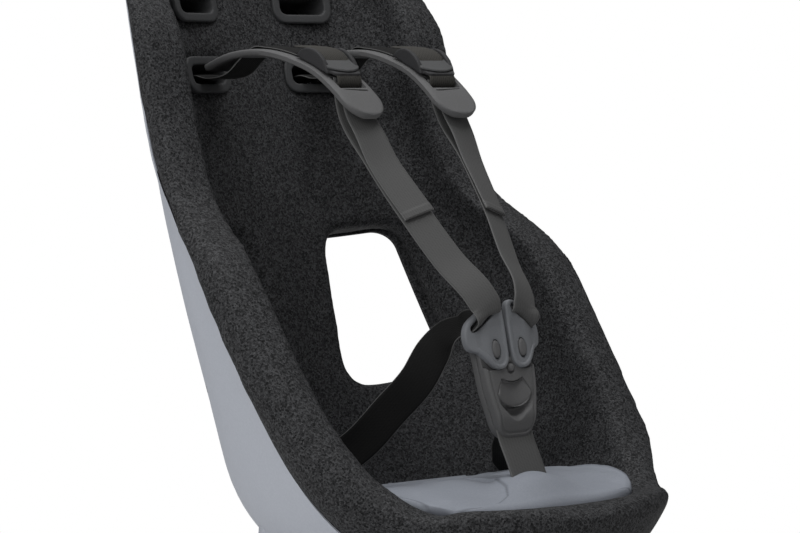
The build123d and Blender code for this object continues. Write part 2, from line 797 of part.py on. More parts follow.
# Footrests: trays that slide in the guards' slots, held by a knob behind, with a rubber strap
tray_width = channel_width - 2 * footrest_clearance
tray_back = guard_back - guard_wall - footrest_clearance
tray_length = tray_back - footrest_front
tray_y = tray_back - tray_length / 2
tray_plan = Pos(guard_middle, tray_y) * RectangleRounded(tray_width, tray_length, guard_corner - guard_wall)
inside_width = tray_width - 2 * tray_wall
inside_plan = RectangleRounded(inside_width, tray_length, guard_corner - guard_wall - tray_wall)
inside_plan = Pos(guard_middle, tray_y - tray_wall) * inside_plan
footrest = extrude(Pos(0, 0, footrest_level) * tray_plan, tray_height)
footrest = footrest - extrude(Pos(0, 0, footrest_level + footrest_floor) * inside_plan, tray_height)
boss_z = footrest_level + tray_height / 2
boss_reach = guard_wall + footrest_clearance
boss = Box(rail_width - 2 * footrest_clearance, boss_reach + 1, boss_height)
footrest = footrest + Pos(guard_middle, tray_back + boss_reach / 2 - 0.5, boss_z) * boss
knob_face = guard_back + footrest_clearance
knob_turn = Rot(90, 0, 0)
knob = Pos(guard_middle, knob_face + knob_depth / 2, boss_z) * knob_turn * Cylinder(knob_radius, knob_depth)
knob = fillet(knob.faces().sort_by(Axis.Y)[-1].edges(), 2)
stem_place = Pos(guard_middle, knob_face - knob_reach / 2, boss_z) * knob_turn
footrest = footrest - stem_place * Cylinder(screw_radius + running_clearance, knob_reach + 2)
footrest_knob = knob + stem_place * Cylinder(screw_radius, knob_reach)

strap_y = footrest_front + foot_strap_width / 2 + 8
arch_outer = inside_width - 2 * footrest_clearance
arch_inner = arch_outer - 2 * foot_strap_thickness
arch_height = 2 * (tray_height + foot_strap_rise)
strap_face = RectangleRounded(arch_outer, arch_height, arch_outer / 2 - 1)
inner_height = arch_height - 2 * foot_strap_thickness
strap_face = strap_face - RectangleRounded(arch_inner, inner_height, arch_inner / 2 - 1)
strap_base = footrest_level + footrest_floor + 4
keep_height = tray_height + foot_strap_rise - footrest_floor - 4
strap_face = strap_face & Pos(0, arch_height / 2 - keep_height / 2) * Rectangle(200, keep_height)
strap_middle = footrest_level + tray_height + foot_strap_rise - arch_height / 2
foot_strap = extrude(Plane.XZ * strap_face, foot_strap_width / 2, both=True)
foot_strap = Pos(guard_middle, strap_y, strap_middle) * foot_strap
stud_z = footrest_level + tray_height - 10
stud_length = tray_wall + foot_strap_thickness + 3
strap_studs = []
for side in (-1, 1):
    wall_x = guard_middle + side * (tray_width / 2)
    stud_x = wall_x - side * (stud_length / 2 - 0.5)
    pin = Pos(stud_x, strap_y, stud_z) * Rot(0, 90, 0) * Cylinder(screw_radius, stud_length)
    cap_x = wall_x - side * (tray_wall + footrest_clearance + foot_strap_thickness + head_gap + 1.0)
    cap = Pos(cap_x, strap_y, stud_z) * Rot(0, 90, 0) * Cylinder(2 * screw_radius, 2.0)
    strap_studs.append(pin + cap)
    hole = Pos(stud_x, strap_y, stud_z) * Rot(0, 90, 0) * Cylinder(screw_radius + head_gap, stud_length + 4)
    footrest = footrest - hole
    foot_strap = foot_strap - hole

# Steel arm from under the seat down to the stem clamp
arm_high = under_pan
arm_low = arm_high - arm_thickness
socket_high = -hip_above_clamp + arm_thickness / 2
socket_low = socket_high - arm_thickness
bend_shift = arm_thickness * 0.32
arm_points = [
    (arm_rear, arm_high),
    (arm_bend_rear - bend_shift / 2, arm_high),
    (arm_bend_front - bend_shift / 2, socket_high),
    (arm_front, socket_high),
    (arm_front, socket_low),
    (arm_bend_front + bend_shift / 2, socket_low),
    (arm_bend_rear + bend_shift / 2, arm_low),
    (arm_rear, arm_low),
]
arm_face = make_face(Polyline(*arm_points, close=True))
mount_arm = extrude(Plane.YZ * arm_face, arm_width / 2, both=True)
mount_arm = fillet(mount_arm.edges().filter_by(Axis.Z).group_by(Axis.Y)[-1], arm_width / 2 - 1)
notch = Box(arm_width + 4, notch_length, 2 * notch_depth)
mount_arm = mount_arm - Pos(0, notch_front + notch_length / 2, socket_high) * notch
arm_bolts = []
bolt_head_z = arm_low - head_gap - bolt_head / 2
arm_shank_z = bolt_head_z + arm_bolt_length / 2
for y in arm_bolt_places:
    head = Pos(0, y, bolt_head_z) * Cylinder(bolt_head_radius, bolt_head)
    shank = Pos(0, y, arm_shank_z) * Cylinder(bolt_radius, arm_bolt_length)
    arm_bolts.append(head + shank)
    hole = Pos(0, y, arm_shank_z) * Cylinder(bolt_radius + bolt_hole_clearance, arm_bolt_length + 4)
    screw_holes.append(hole)
    mount_arm = mount_arm - hole

# Stem clamp in two halves, drawn together by four bolts
stem_y = -hip_behind_stem
clamp_z = -hip_above_clamp
clamp_size = (2 * clamp_half_width, clamp_rear_depth - clamp_split / 2, 2 * clamp_half_height)
clamp_rear = Pos(0, stem_y + clamp_split / 2 + clamp_size[1] / 2, clamp_z) * Box(*clamp_size)
clamp_rear = fillet(clamp_rear.edges().filter_by(Axis.Z).group_by(Axis.Y)[-1], clamp_corner)
front_size = clamp_front_depth - clamp_split / 2
clamp_front = Box(clamp_size[0], front_size, clamp_size[2])
clamp_front = Pos(0, stem_y - clamp_split / 2 - front_size / 2, clamp_z) * clamp_front
clamp_front = fillet(clamp_front.edges().filter_by(Axis.Z).group_by(Axis.Y)[0], clamp_corner)
stem_bore = Pos(0, stem_y, clamp_z) * Cylinder(clamp_radius, 200)
clamp_front = clamp_front - stem_bore
socket_size = (arm_width + 2 * socket_clearance, 100, arm_thickness + 2 * socket_clearance)
socket = Pos(0, arm_front - socket_clearance + 50, clamp_z) * Box(*socket_size)
lug_foot = clamp_z + clamp_half_height
lug_height = lever_pivot[1] - lug_foot
lug_x = lever_width / 2 + lever_side_clearance + lever_lug / 2
lever_axis = Pos(0, *lever_pivot) * Rot(0, 90, 0)
for side in (-1, 1):
    lug = Box(lever_lug, 2 * lug_radius, lug_height)
    lug = Pos(side * lug_x, lever_pivot[0], lug_foot + lug_height / 2) * lug
    lug_round = Pos(side * lug_x, 0, 0) * lever_axis * Cylinder(lug_radius, lever_lug)
    clamp_rear = clamp_rear + lug + lug_round
pin_bore = lever_axis * Cylinder(lever_pin_radius + running_clearance, 100)
clamp_rear = clamp_rear - stem_bore - socket - pin_bore
clamp_bolts = []
clamp_nuts = []
front_face = stem_y - clamp_front_depth
along_y = Rot(90, 0, 0)
for side in (-1, 1):
    for rise in (-clamp_bolt_z, clamp_bolt_z):
        line = Pos(side * clamp_bolt_x, 0, clamp_z + rise)
        bolt_y = front_face - head_gap + clamp_bolt_length / 2
        hole = line * Pos(0, stem_y, 0) * along_y * Cylinder(bolt_radius + bolt_hole_clearance, 200)
        head_y = front_face - head_gap - bolt_head / 2
        head = line * Pos(0, head_y, 0) * along_y * Cylinder(bolt_head_radius, bolt_head)
        shank = line * Pos(0, bolt_y, 0) * along_y * Cylinder(bolt_radius, clamp_bolt_length)
        clamp_bolts.append(head + shank)
        nut_y = front_face - head_gap + clamp_bolt_length - nut_height - 1
        nut_plan = RegularPolygon(nut_radius, 6) - Circle(bolt_radius + 0.1)
        nut = line * Pos(0, nut_y + nut_height, 0) * along_y * extrude(nut_plan, nut_height)
        clamp_nuts.append(nut)
        nut_room = line * Pos(0, nut_y - head_gap + 50, 0) * along_y * Cylinder(nut_radius + 0.4, 100)
        clamp_front = clamp_front - hole
        clamp_rear = clamp_rear - hole - nut_room

# Lock lever whose hook drops into the arm's notch
hook_top = lever_pivot[1]
hook_bottom = socket_high - notch_depth + 0.6
hook_front = notch_front + 0.6
lever_points = [
    (lever_pivot[0], hook_top + 6),
    (lever_handle_end, hook_top + 9),
    (lever_handle_end, hook_top + 4),
    (hook_front + hook_length, hook_top - 5),
    (hook_front + hook_length, hook_bottom),
    (hook_front, hook_bottom),
    (hook_front, hook_top - 6),
    (lever_pivot[0], hook_top - 6),
]
lever_face = make_face(Polyline(*lever_points, close=True)) + Pos(*lever_pivot) * Circle(6)
lock_lever = extrude(Plane.YZ * lever_face, lever_width / 2, both=True)
lock_lever = lock_lever - pin_bore
lever_pin = lever_axis * Cylinder(lever_pin_radius, 2 * (lug_x + lever_lug / 2) + 1)

# Openings for straps, screws and bolts in the bucket and the pad, and bosses for the lap straps
crotch_slot = Pos(0, crotch_at, 0) * Box(crotch_width + 2, crotch_thickness + 2, 240)
lap_slot = Pos(lap_x, lap_y, -40) * Box(webbing_thickness + 2.6, webbing_width + 5, 150)
strap_boss = Pos(lap_x, lap_y, (lap_boss_bottom + 20) / 2) * Box(*lap_boss, 20 - lap_boss_bottom)
strap_boss = strap_boss - bucket(shell_stations, shell_roundness, shell_thickness / 2)
right_half = Pos(far / 2, 0, 0) * Box(far, 2 * far, 2 * far)
foam_liner = foam_liner & right_half
outer_shell = (outer_shell & right_half) + strap_boss
seat_pad = seat_pad & right_half
for cut in [vent_right] + eyelet_cuts + [crotch_slot, lap_slot] + screw_holes:
    foam_liner = foam_liner - cut
    outer_shell = outer_shell - cut
seat_pad = seat_pad - crotch_slot - lap_slot
foam_liner = foam_liner + mirrored(foam_liner)
outer_shell = outer_shell + mirrored(outer_shell)
seat_pad = seat_pad + mirrored(seat_pad)

# Every piece under its own name
right_side = {
    "shoulder_pad": shoulder_pad,
    "adjuster": adjuster,
    "anchor_strap": anchor_strap,
    "shoulder_keeper": shoulder_keeper,
    "shoulder_strap": shoulder_strap,
    "strap_tail": tail_strap,
    "lap_strap": lap_strap,
    "lap_keeper": lap_keeper,
    "buckle_tongue": to_buckle * tongue,
    "tongue_stud": to_buckle * stud,
    "leg_guard": leg_guard,
    "footrest": footrest,
    "footrest_knob": footrest_knob,
    "foot_strap": foot_strap,
}
for name, piece in right_side.items():
    parts[f"{name}_right"] = piece
    parts[f"{name}_left"] = mirrored(piece)
right_groups = {"guard_screws": guard_screws, "foot_strap_studs": strap_studs}
for name, pieces in right_groups.items():
    parts[f"{name}_right"] = Compound(pieces)
    parts[f"{name}_left"] = Compound([mirrored(piece) for piece in pieces])
parts["outer_shell"] = outer_shell
parts["foam_liner"] = foam_liner
parts["seat_pad"] = seat_pad
parts["crotch_strap"] = crotch_strap
parts["crotch_keeper"] = crotch_keeper
parts["buckle_front"] = to_buckle * front_half
parts["buckle_back"] = to_buckle * back_half
parts["buckle_rivet"] = to_buckle * rivet
parts["release_button"] = to_buckle * button
parts["button_spring"] = to_buckle * spring
parts["mount_arm"] = mount_arm
parts["arm_bolts"] = Compound(arm_bolts)
parts["clamp_rear"] = clamp_rear
parts["clamp_front"] = clamp_front
parts["clamp_bolts"] = Compound(clamp_bolts)
parts["clamp_nuts"] = Compound(clamp_nuts)
parts["lock_lever"] = lock_lever
parts["lever_pin"] = lever_pin

to_stem = Pos(0, hip_behind_stem, hip_above_clamp)
for name, piece in parts.items():
    export_step(to_stem * piece, f"parts/{name}.step", write_pcurves=False)
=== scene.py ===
import json
import math

import bmesh
import bpy
import numpy as np
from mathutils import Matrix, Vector

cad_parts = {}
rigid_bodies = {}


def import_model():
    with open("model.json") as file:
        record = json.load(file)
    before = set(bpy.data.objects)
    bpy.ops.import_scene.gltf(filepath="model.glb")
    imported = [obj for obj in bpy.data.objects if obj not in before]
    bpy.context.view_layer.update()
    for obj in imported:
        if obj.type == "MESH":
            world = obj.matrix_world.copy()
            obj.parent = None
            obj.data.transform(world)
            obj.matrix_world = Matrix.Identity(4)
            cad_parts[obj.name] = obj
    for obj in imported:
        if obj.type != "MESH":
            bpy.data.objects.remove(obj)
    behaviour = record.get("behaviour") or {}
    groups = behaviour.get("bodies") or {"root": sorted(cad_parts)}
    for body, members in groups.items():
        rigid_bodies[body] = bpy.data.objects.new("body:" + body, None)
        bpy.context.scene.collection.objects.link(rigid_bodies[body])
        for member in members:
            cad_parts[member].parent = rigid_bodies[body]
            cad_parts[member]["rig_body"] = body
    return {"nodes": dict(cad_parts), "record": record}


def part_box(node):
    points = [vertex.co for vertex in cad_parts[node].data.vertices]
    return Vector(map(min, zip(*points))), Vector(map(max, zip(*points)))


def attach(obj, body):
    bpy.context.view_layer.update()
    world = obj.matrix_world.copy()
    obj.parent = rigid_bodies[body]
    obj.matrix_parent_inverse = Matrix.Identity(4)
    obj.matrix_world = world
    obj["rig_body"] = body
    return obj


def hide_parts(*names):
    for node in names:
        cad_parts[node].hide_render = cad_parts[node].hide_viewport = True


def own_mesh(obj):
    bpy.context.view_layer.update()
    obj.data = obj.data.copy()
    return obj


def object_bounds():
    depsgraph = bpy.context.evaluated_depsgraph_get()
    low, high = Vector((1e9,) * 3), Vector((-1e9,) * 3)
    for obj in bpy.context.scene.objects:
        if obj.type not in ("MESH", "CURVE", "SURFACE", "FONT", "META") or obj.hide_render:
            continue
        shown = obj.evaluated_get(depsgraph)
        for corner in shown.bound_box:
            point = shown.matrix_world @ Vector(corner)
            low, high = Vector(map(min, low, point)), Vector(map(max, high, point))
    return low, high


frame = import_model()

cad_low, cad_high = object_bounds()
nodes = frame["nodes"]

# Studio: a flat pale floor in a white room under broad soft lamps.
# The camera stands low in front of the seat, on the side of the pieces named left.
# The seat hangs from its stem clamp, so the floor lies a little below the leg guards.
scene = bpy.context.scene
scene.view_settings.view_transform = "Standard"

floor_mesh = bpy.data.meshes.new("studio_floor")
floor_half = 3.0
floor_gap = 0.004
floor_level = cad_low.z - floor_gap
floor_plan = ((-1, -1), (1, -1), (1, 1), (-1, 1))
floor_corners = [(x * floor_half, y * floor_half, floor_level) for x, y in floor_plan]
floor_mesh.from_pydata(floor_corners, [], [(0, 1, 2, 3)])
studio_floor = bpy.data.objects.new("studio_floor", floor_mesh)
scene.collection.objects.link(studio_floor)

floor_paper = bpy.data.materials.new("floor_paper")
floor_paper.use_nodes = True
paper_nodes = floor_paper.node_tree.nodes
paper_links = floor_paper.node_tree.links
paper_shader = paper_nodes["Principled BSDF"]
paper_grain = paper_nodes.new("ShaderNodeTexNoise")
paper_grain.inputs["Scale"].default_value = 40
paper_tone = paper_nodes.new("ShaderNodeValToRGB")
paper_tone.color_ramp.elements[0].color = (0.78, 0.78, 0.78, 1)
paper_tone.color_ramp.elements[1].color = (0.84, 0.84, 0.84, 1)
paper_links.new(paper_grain.outputs["Fac"], paper_tone.inputs["Fac"])
paper_links.new(paper_tone.outputs["Color"], paper_shader.inputs["Base Color"])
paper_shader.inputs["Roughness"].default_value = 0.9
paper_glow = paper_nodes.new("ShaderNodeEmission")
paper_ray = paper_nodes.new("ShaderNodeLightPath")
paper_mix = paper_nodes.new("ShaderNodeMixShader")
paper_seen = paper_nodes.new("ShaderNodeMath")
paper_seen.operation = "ADD"
paper_seen.use_clamp = True
paper_links.new(paper_ray.outputs["Is Camera Ray"], paper_seen.inputs[0])
paper_links.new(paper_ray.outputs["Is Transmission Ray"], paper_seen.inputs[1])
paper_links.new(paper_seen.outputs["Value"], paper_mix.inputs["Fac"])
paper_links.new(paper_shader.outputs["BSDF"], paper_mix.inputs[1])
paper_links.new(paper_glow.outputs["Emission"], paper_mix.inputs[2])
paper_links.new(paper_mix.outputs["Shader"], paper_nodes["Material Output"].inputs["Surface"])
studio_floor.data.materials.append(floor_paper)

world = bpy.data.worlds.new("studio")
scene.world = world
world.use_nodes = True
world_nodes = world.node_tree.nodes
world_links = world.node_tree.links
room_light = world_nodes["Background"]
room_light.inputs["Color"].default_value = (1, 1, 1, 1)
room_light.inputs["Strength"].default_value = 0.11
white_wall = world_nodes.new("ShaderNodeBackground")
white_wall.inputs["Color"].default_value = (1, 1, 1, 1)
white_wall.inputs["Strength"].default_value = 1.0
world_ray = world_nodes.new("ShaderNodeLightPath")
world_mix = world_nodes.new("ShaderNodeMixShader")
world_links.new(world_ray.outputs["Is Camera Ray"], world_mix.inputs["Fac"])
world_links.new(room_light.outputs["Background"], world_mix.inputs[1])
world_links.new(white_wall.outputs["Background"], world_mix.inputs[2])
world_links.new(world_mix.outputs["Shader"], world_nodes["World Output"].inputs["Surface"])


seat_middle = Vector((0, 0.25, 0.25))


def soft_lamp(name, place, size, watts):
    """A square softbox at a place, turned to the seat."""
    lamp = bpy.data.lights.new(name, "AREA")
    lamp.size = size
    lamp.energy = watts
    stand = bpy.data.objects.new(name, lamp)
    stand.location = place
    stand.rotation_euler = (seat_middle - Vector(place)).to_track_quat("-Z", "Y").to_euler()
    scene.collection.objects.link(stand)


soft_lamp("key_lamp", (-2.2, -0.35, 1.5), size=1.6, watts=27)
soft_lamp("top_lamp", (0.0, 0.2, 2.3), size=1.8, watts=38)
soft_lamp("right_lamp", (1.9, -1.2, 1.0), size=1.4, watts=2)
soft_lamp("back_lamp", (-0.8, 2.3, 1.3), size=1.6, watts=9)

camera_data = bpy.data.cameras.new("photo_camera")
camera_data.sensor_width = 36
camera_data.lens = 146.7
camera = bpy.data.objects.new("photo_camera", camera_data)
camera.location = (-1.6108, -1.3334, 0.3959)
camera_tilt, camera_turn = 86.638, -45
camera.rotation_euler = (math.radians(camera_tilt), 0, math.radians(camera_turn))
scene.collection.objects.link(camera)
scene.camera = camera


# Foam liner: one thick bucket of moulded bead foam with a fine pebbled skin and soft rounded edges.
# It is pressed into the plastic shell and carries the child.
weld_distance = 1e-5


def piece_from_node(node, name):
    """A new piece with its own copy of a CAD node's mesh, welded where the faces meet."""
    mesh = nodes[node].data.copy()
    mesh.name = name
    mesh.materials.clear()
    work = bmesh.new()
    work.from_mesh(mesh)
    bmesh.ops.remove_doubles(work, verts=work.verts, dist=weld_distance)
    work.to_mesh(mesh)
    work.free()
    piece = bpy.data.objects.new(name, mesh)
    scene.collection.objects.link(piece)
    return piece


def apply_modifiers(piece):
    """Bakes a piece's modifiers into its mesh."""
    bpy.context.view_layer.update()
    evaluated = piece.evaluated_get(bpy.context.evaluated_depsgraph_get())
    mesh = bpy.data.meshes.new_from_object(evaluated)
    piece.modifiers.clear()
    piece.data = mesh
    mesh.name = piece.name


def mould(piece, voxel, smoothing):
    """Remeshes a piece evenly and softens its edges as moulding does."""
    remesh = piece.modifiers.new("even_mesh", "REMESH")
    remesh.mode = "VOXEL"
    remesh.voxel_size = voxel
    soften = piece.modifiers.new("soften", "SMOOTH")
    soften.factor = 0.5
    soften.iterations = smoothing
    apply_modifiers(piece)
    piece.data.shade_smooth()


def dressed(piece, material, body, slot, *stands_for):
    """Gives a piece its material and fixes it to its body in place of CAD nodes."""
    piece.data.materials.clear()
    piece.data.materials.append(material)
    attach(piece, body)
    if stands_for:
        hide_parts(*stands_for)


seat_corner = np.array([0, 330, 100])


def seat_mm(points):
    """Points of the part, in millimetres from the corner where the seat's back meets its pan."""
    return np.array(points) * 1000 - seat_corner


def from_seat_mm(points):
    """Points in metres in the part's frame, given in millimetres from the seat's corner."""
    return (np.array(points, float) + seat_corner) / 1000


def ramp(value, low, high):
    """Smooth step from 0 at low to 1 at high."""
    share = np.clip((value - low) / (high - low), 0, 1)
    return share * share * (3 - 2 * share)


def read_points(piece):
    """The piece's points and normals as arrays."""
    count = len(piece.data.vertices)
    points = np.zeros(count * 3, np.float32)
    normals = np.zeros(count * 3, np.float32)
    piece.data.vertices.foreach_get("co", points)
    piece.data.vertex_normals.foreach_get("vector", normals)
    return points.reshape(-1, 3).astype(float), normals.reshape(-1, 3).astype(float)


def write_points(piece, points):
    """Puts a piece's points at new places."""
    piece.data.vertices.foreach_set("co", points.astype(np.float32).ravel())
    piece.data.update()


pebble = bpy.data.node_groups.new("pebbled_skin", "ShaderNodeTree")
pebble.interface.new_socket("Scale", in_out="INPUT", socket_type="NodeSocketFloat")
pebble.interface.new_socket("Dark", in_out="INPUT", socket_type="NodeSocketColor")
pebble.interface.new_socket("Light", in_out="INPUT", socket_type="NodeSocketColor")
pebble.interface.new_socket("Color", in_out="OUTPUT", socket_type="NodeSocketColor")
pebble.interface.new_socket("Height", in_out="OUTPUT", socket_type="NodeSocketFloat")
pebble.interface.new_socket("Roughness", in_out="OUTPUT", socket_type="NodeSocketFloat")
pebble_in = pebble.nodes.new("NodeGroupInput")
pebble_out = pebble.nodes.new("NodeGroupOutput")
pebble_place = pebble.nodes.new("ShaderNodeTexCoord")
pebble_cells = pebble.nodes.new("ShaderNodeTexVoronoi")
pebble_noise = pebble.nodes.new("ShaderNodeTexNoise")
pebble_noise.inputs["Detail"].default_value = 4
pebble_cloud = pebble.nodes.new("ShaderNodeTexNoise")
pebble_cloud.inputs["Scale"].default_value = 14
pebble_double = pebble.nodes.new("ShaderNodeMath")
pebble_double.operation = "MULTIPLY"
pebble_double.inputs[1].default_value = 1.9
pebble_sum = pebble.nodes.new("ShaderNodeMath")
pebble_sum.operation = "MULTIPLY_ADD"
pebble_sum.inputs[1].default_value = 0.6
pebble_range = pebble.nodes.new("ShaderNodeMapRange")
pebble_range.inputs["From Min"].default_value = 0.35
pebble_range.inputs["From Max"].default_value = 0.95
pebble_bead = pebble.nodes.new("ShaderNodeSeparateColor")
pebble_tone = pebble.nodes.new("ShaderNodeMath")
pebble_tone.operation = "MULTIPLY"
pebble_mix = pebble.nodes.new("ShaderNodeMix")
pebble_mix.data_type = "RGBA"
pebble_rough = pebble.nodes.new("ShaderNodeMapRange")
pebble_rough.inputs["To Min"].default_value = 0.62
pebble_rough.inputs["To Max"].default_value = 0.82
pebble.links.new(pebble_place.outputs["Object"], pebble_cells.inputs["Vector"])
pebble.links.new(pebble_place.outputs["Object"], pebble_noise.inputs["Vector"])
pebble.links.new(pebble_place.outputs["Object"], pebble_cloud.inputs["Vector"])
pebble.links.new(pebble_in.outputs["Scale"], pebble_cells.inputs["Scale"])
pebble.links.new(pebble_in.outputs["Scale"], pebble_double.inputs[0])
pebble.links.new(pebble_double.outputs["Value"], pebble_noise.inputs["Scale"])
pebble.links.new(pebble_cells.outputs["Distance"], pebble_sum.inputs[0])
pebble.links.new(pebble_noise.outputs["Fac"], pebble_sum.inputs[2])
pebble.links.new(pebble_sum.outputs["Value"], pebble_range.inputs["Value"])
pebble.links.new(pebble_cells.outputs["Color"], pebble_bead.inputs["Color"])
pebble.links.new(pebble_bead.outputs["Red"], pebble_tone.inputs[0])
pebble.links.new(pebble_range.outputs["Result"], pebble_tone.inputs[1])
pebble.links.new(pebble_tone.outputs["Value"], pebble_mix.inputs["Factor"])
pebble.links.new(pebble_in.outputs["Dark"], pebble_mix.inputs["A"])
pebble.links.new(pebble_in.outputs["Light"], pebble_mix.inputs["B"])
pebble.links.new(pebble_mix.outputs["Result"], pebble_out.inputs["Color"])
pebble.links.new(pebble_sum.outputs["Value"], pebble_out.inputs["Height"])
pebble.links.new(pebble_cloud.outputs["Fac"], pebble_rough.inputs["Value"])
pebble.links.new(pebble_rough.outputs["Result"], pebble_out.inputs["Roughness"])


def pebbled_material(name, scale, dark, light, depth, gloss=0.4):
    """A matt material with the pebbled skin: cells per metre, its two tones and its depth in metres."""
    material = bpy.data.materials.new(name)
    material.use_nodes = True
    tree = material.node_tree
    skin = tree.nodes.new("ShaderNodeGroup")
    skin.node_tree = pebble
    skin.inputs["Scale"].default_value = scale
    skin.inputs["Dark"].default_value = (*dark, 1)
    skin.inputs["Light"].default_value = (*light, 1)
    relief = tree.nodes.new("ShaderNodeBump")
    relief.inputs["Distance"].default_value = depth
    relief.inputs["Strength"].default_value = 0.7
    shader = tree.nodes["Principled BSDF"]
    shader.inputs["Specular IOR Level"].default_value = gloss
    tree.links.new(skin.outputs["Color"], shader.inputs["Base Color"])
    tree.links.new(skin.outputs["Roughness"], shader.inputs["Roughness"])
    tree.links.new(skin.outputs["Height"], relief.inputs["Height"])
    tree.links.new(relief.outputs["Normal"], shader.inputs["Normal"])
    return material


foam_skin = pebbled_material(
    "foam_skin", 820, (0.007, 0.0072, 0.0078), (0.08, 0.081, 0.085), 0.0004, gloss=0.15
)
foam_voxel, foam_smoothing = 0.0032, 30
foam_bucket = piece_from_node("foam_liner", "foam_bucket")
mould(foam_bucket, foam_voxel, foam_smoothing)
foam_points, foam_normals = read_points(foam_bucket)
foam_x, foam_y, foam_z = seat_mm(foam_points).T
foam_side = np.sign(foam_x)

lip_rise = 5.0
lip_lift = lip_rise * ramp(-foam_y, 186, 207) * (1 - ramp(-foam_y, 226, 250))
lip_lift *= 1 - ramp(np.abs(foam_x), 96, 126)
lip_lift *= ramp(foam_normals[:, 2], 0.3, 0.8) * (1 - ramp(foam_z, 10, 16)) * (foam_z > -25)
foam_points[:, 2] += lip_lift / 1000

corner_depth, corner_level, corner_height = 5.0, 28.0, 24.0
pan_middle = -100.0
corner_fill = corner_depth * np.exp(-(((foam_z - corner_level) / corner_height) ** 2))
corner_fill *= ramp(-foam_y, 140, 190) * ramp(np.abs(foam_x), 80, 116)
corner_reach = np.hypot(foam_x, foam_y - pan_middle)
foam_points[:, 0] += corner_fill * foam_x / corner_reach / 1000
foam_points[:, 1] += corner_fill * (foam_y - pan_middle) / corner_reach / 1000

flank_start = 85
level_step, level_band = 10, 12
shell_corners = seat_mm([corner.co for corner in nodes["outer_shell"].data.vertices])
front_levels, front_places = [], []
for height in range(-40, 400, level_step):
    near_level = np.abs(shell_corners[:, 2] - height) < level_band
    on_flank = near_level & (np.abs(shell_corners[:, 0]) > flank_start)
    if on_flank.any():
        front_levels.append(height)
        front_places.append(shell_corners[on_flank, 1].min())
flank_levels = [-35, -11, 17, 45, 73, 130, 179, 243, 285, 355]
flank_draws = [0, 2, 3, 4.5, 5.6, 6, 7, 7.2, 7.6, 9]
lip_levels = [0, 17, 45, 158, 186, 215, 257, 285, 340]
lip_swells = [3, 4, 6, 6, 5, 2, 2, 4, 5]
corner_slant = 0.707


def drawn_flank(points):
    """How far points lie behind the shell's front edge, and how the rear corners draw in, in millimetres."""
    behind = points[:, 1] - np.interp(points[:, 2], front_levels, front_places)
    draw = np.interp(points[:, 2], flank_levels, flank_draws) * ramp(behind, 0, 35)
    draw *= corner_slant * ramp(np.abs(points[:, 0]), 80, 118)
    return behind, np.c_[-draw * np.sign(points[:, 0]), -draw, 0 * draw]


behind_edge, foam_draw = drawn_flank(seat_mm(foam_points))
facing_out = corner_slant * (foam_normals[:, 0] * foam_side + foam_normals[:, 1])
foam_points += foam_draw * ramp(facing_out, 0.1, 0.5)[:, None] / 1000
lip_swell = np.interp(foam_z, lip_levels, lip_swells) * (1 - ramp(behind_edge, 0, 14)) * (foam_z > -20)
lip_swell *= ramp(foam_normals[:, 0] * foam_side, 0.0, 0.6)
foam_points[:, 0] += lip_swell * foam_side / 1000
write_points(foam_bucket, foam_points)
front_corner = foam_bucket.vertex_groups.new(name="front_corner")
corner_share = ramp(np.abs(foam_x), 95, 135) * ramp(-foam_y, 60, 120)
least_share = 0.01
for i in np.nonzero(corner_share > least_share)[0]:
    front_corner.add([int(i)], float(corner_share[i]), "REPLACE")
settle = foam_bucket.modifiers.new("settle", "SMOOTH")
settle.factor = 0.5
settle.iterations = 60
settle.vertex_group = "front_corner"
apply_modifiers(foam_bucket)
foam_bucket.data.shade_smooth()
dressed(foam_bucket, foam_skin, "seat", "foam", "foam_liner")

# Outer shell: one injection moulding of grey plastic with a satin face, closing the foam from behind.
# Its front edge lies under the foam's lip, and its vent walls and the inner face beside them carry the
# foam's dark skin as painted shade inside the vents.
shell_plastic = pebbled_material(
    "shell_plastic", 900, (0.45, 0.475, 0.53), (0.49, 0.515, 0.57), 0.00006
)
slot_of_node = {row["node"]: row["material_slot"] for row in frame["record"]["subparts"]}


def from_outline(places, outline, closed=True):
    """Distance in millimetres from the nearest edge of an outline."""
    nearest = np.full(len(places), 1e6)
    ends = outline[1:] + outline[:1] if closed else outline[1:]
    for start, end in zip(outline, ends):
        start, edge = np.array(start, float), np.array(end, float) - np.array(start, float)
        share = np.clip((places - start) @ edge / (edge @ edge), 0, 1)
        nearest = np.minimum(nearest, np.linalg.norm(places - start - share[:, None] * edge, axis=1))
    return nearest


def inside_outline(places, outline):
    """Which places lie inside a closed outline."""
    inside = np.zeros(len(places), bool)
    for (x0, y0), (x1, y1) in zip(outline, outline[1:] + outline[:1]):
        between = (y0 > places[:, 1]) != (y1 > places[:, 1])
        crossing = x0 + (places[:, 1] - y0) * (x1 - x0) / ((y1 - y0) or 1e-9)
        inside ^= between & (places[:, 0] < crossing)
    return inside


def hard_piece(node, material, edge):
    """A stiff piece with the CAD node's shape and its sharp edges broken by a small round."""
    piece = piece_from_node(node, node + "_piece")
    work = bmesh.new()
    work.from_mesh(piece.data)
    bmesh.ops.dissolve_limit(work, angle_limit=math.radians(2), verts=work.verts, edges=work.edges)
    work.to_mesh(piece.data)
    work.free()
    rounding = piece.modifiers.new("broken_edges", "BEVEL")
    rounding.width = edge
    rounding.segments = 3
    rounding.limit_method = "ANGLE"
    rounding.angle_limit = math.radians(35)
    rounding.harden_normals = True
    apply_modifiers(piece)
    piece.data.shade_smooth()
    piece.data.set_sharp_from_angle(angle=math.radians(40))
    dressed(piece, material, nodes[node]["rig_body"], slot_of_node[node], node)


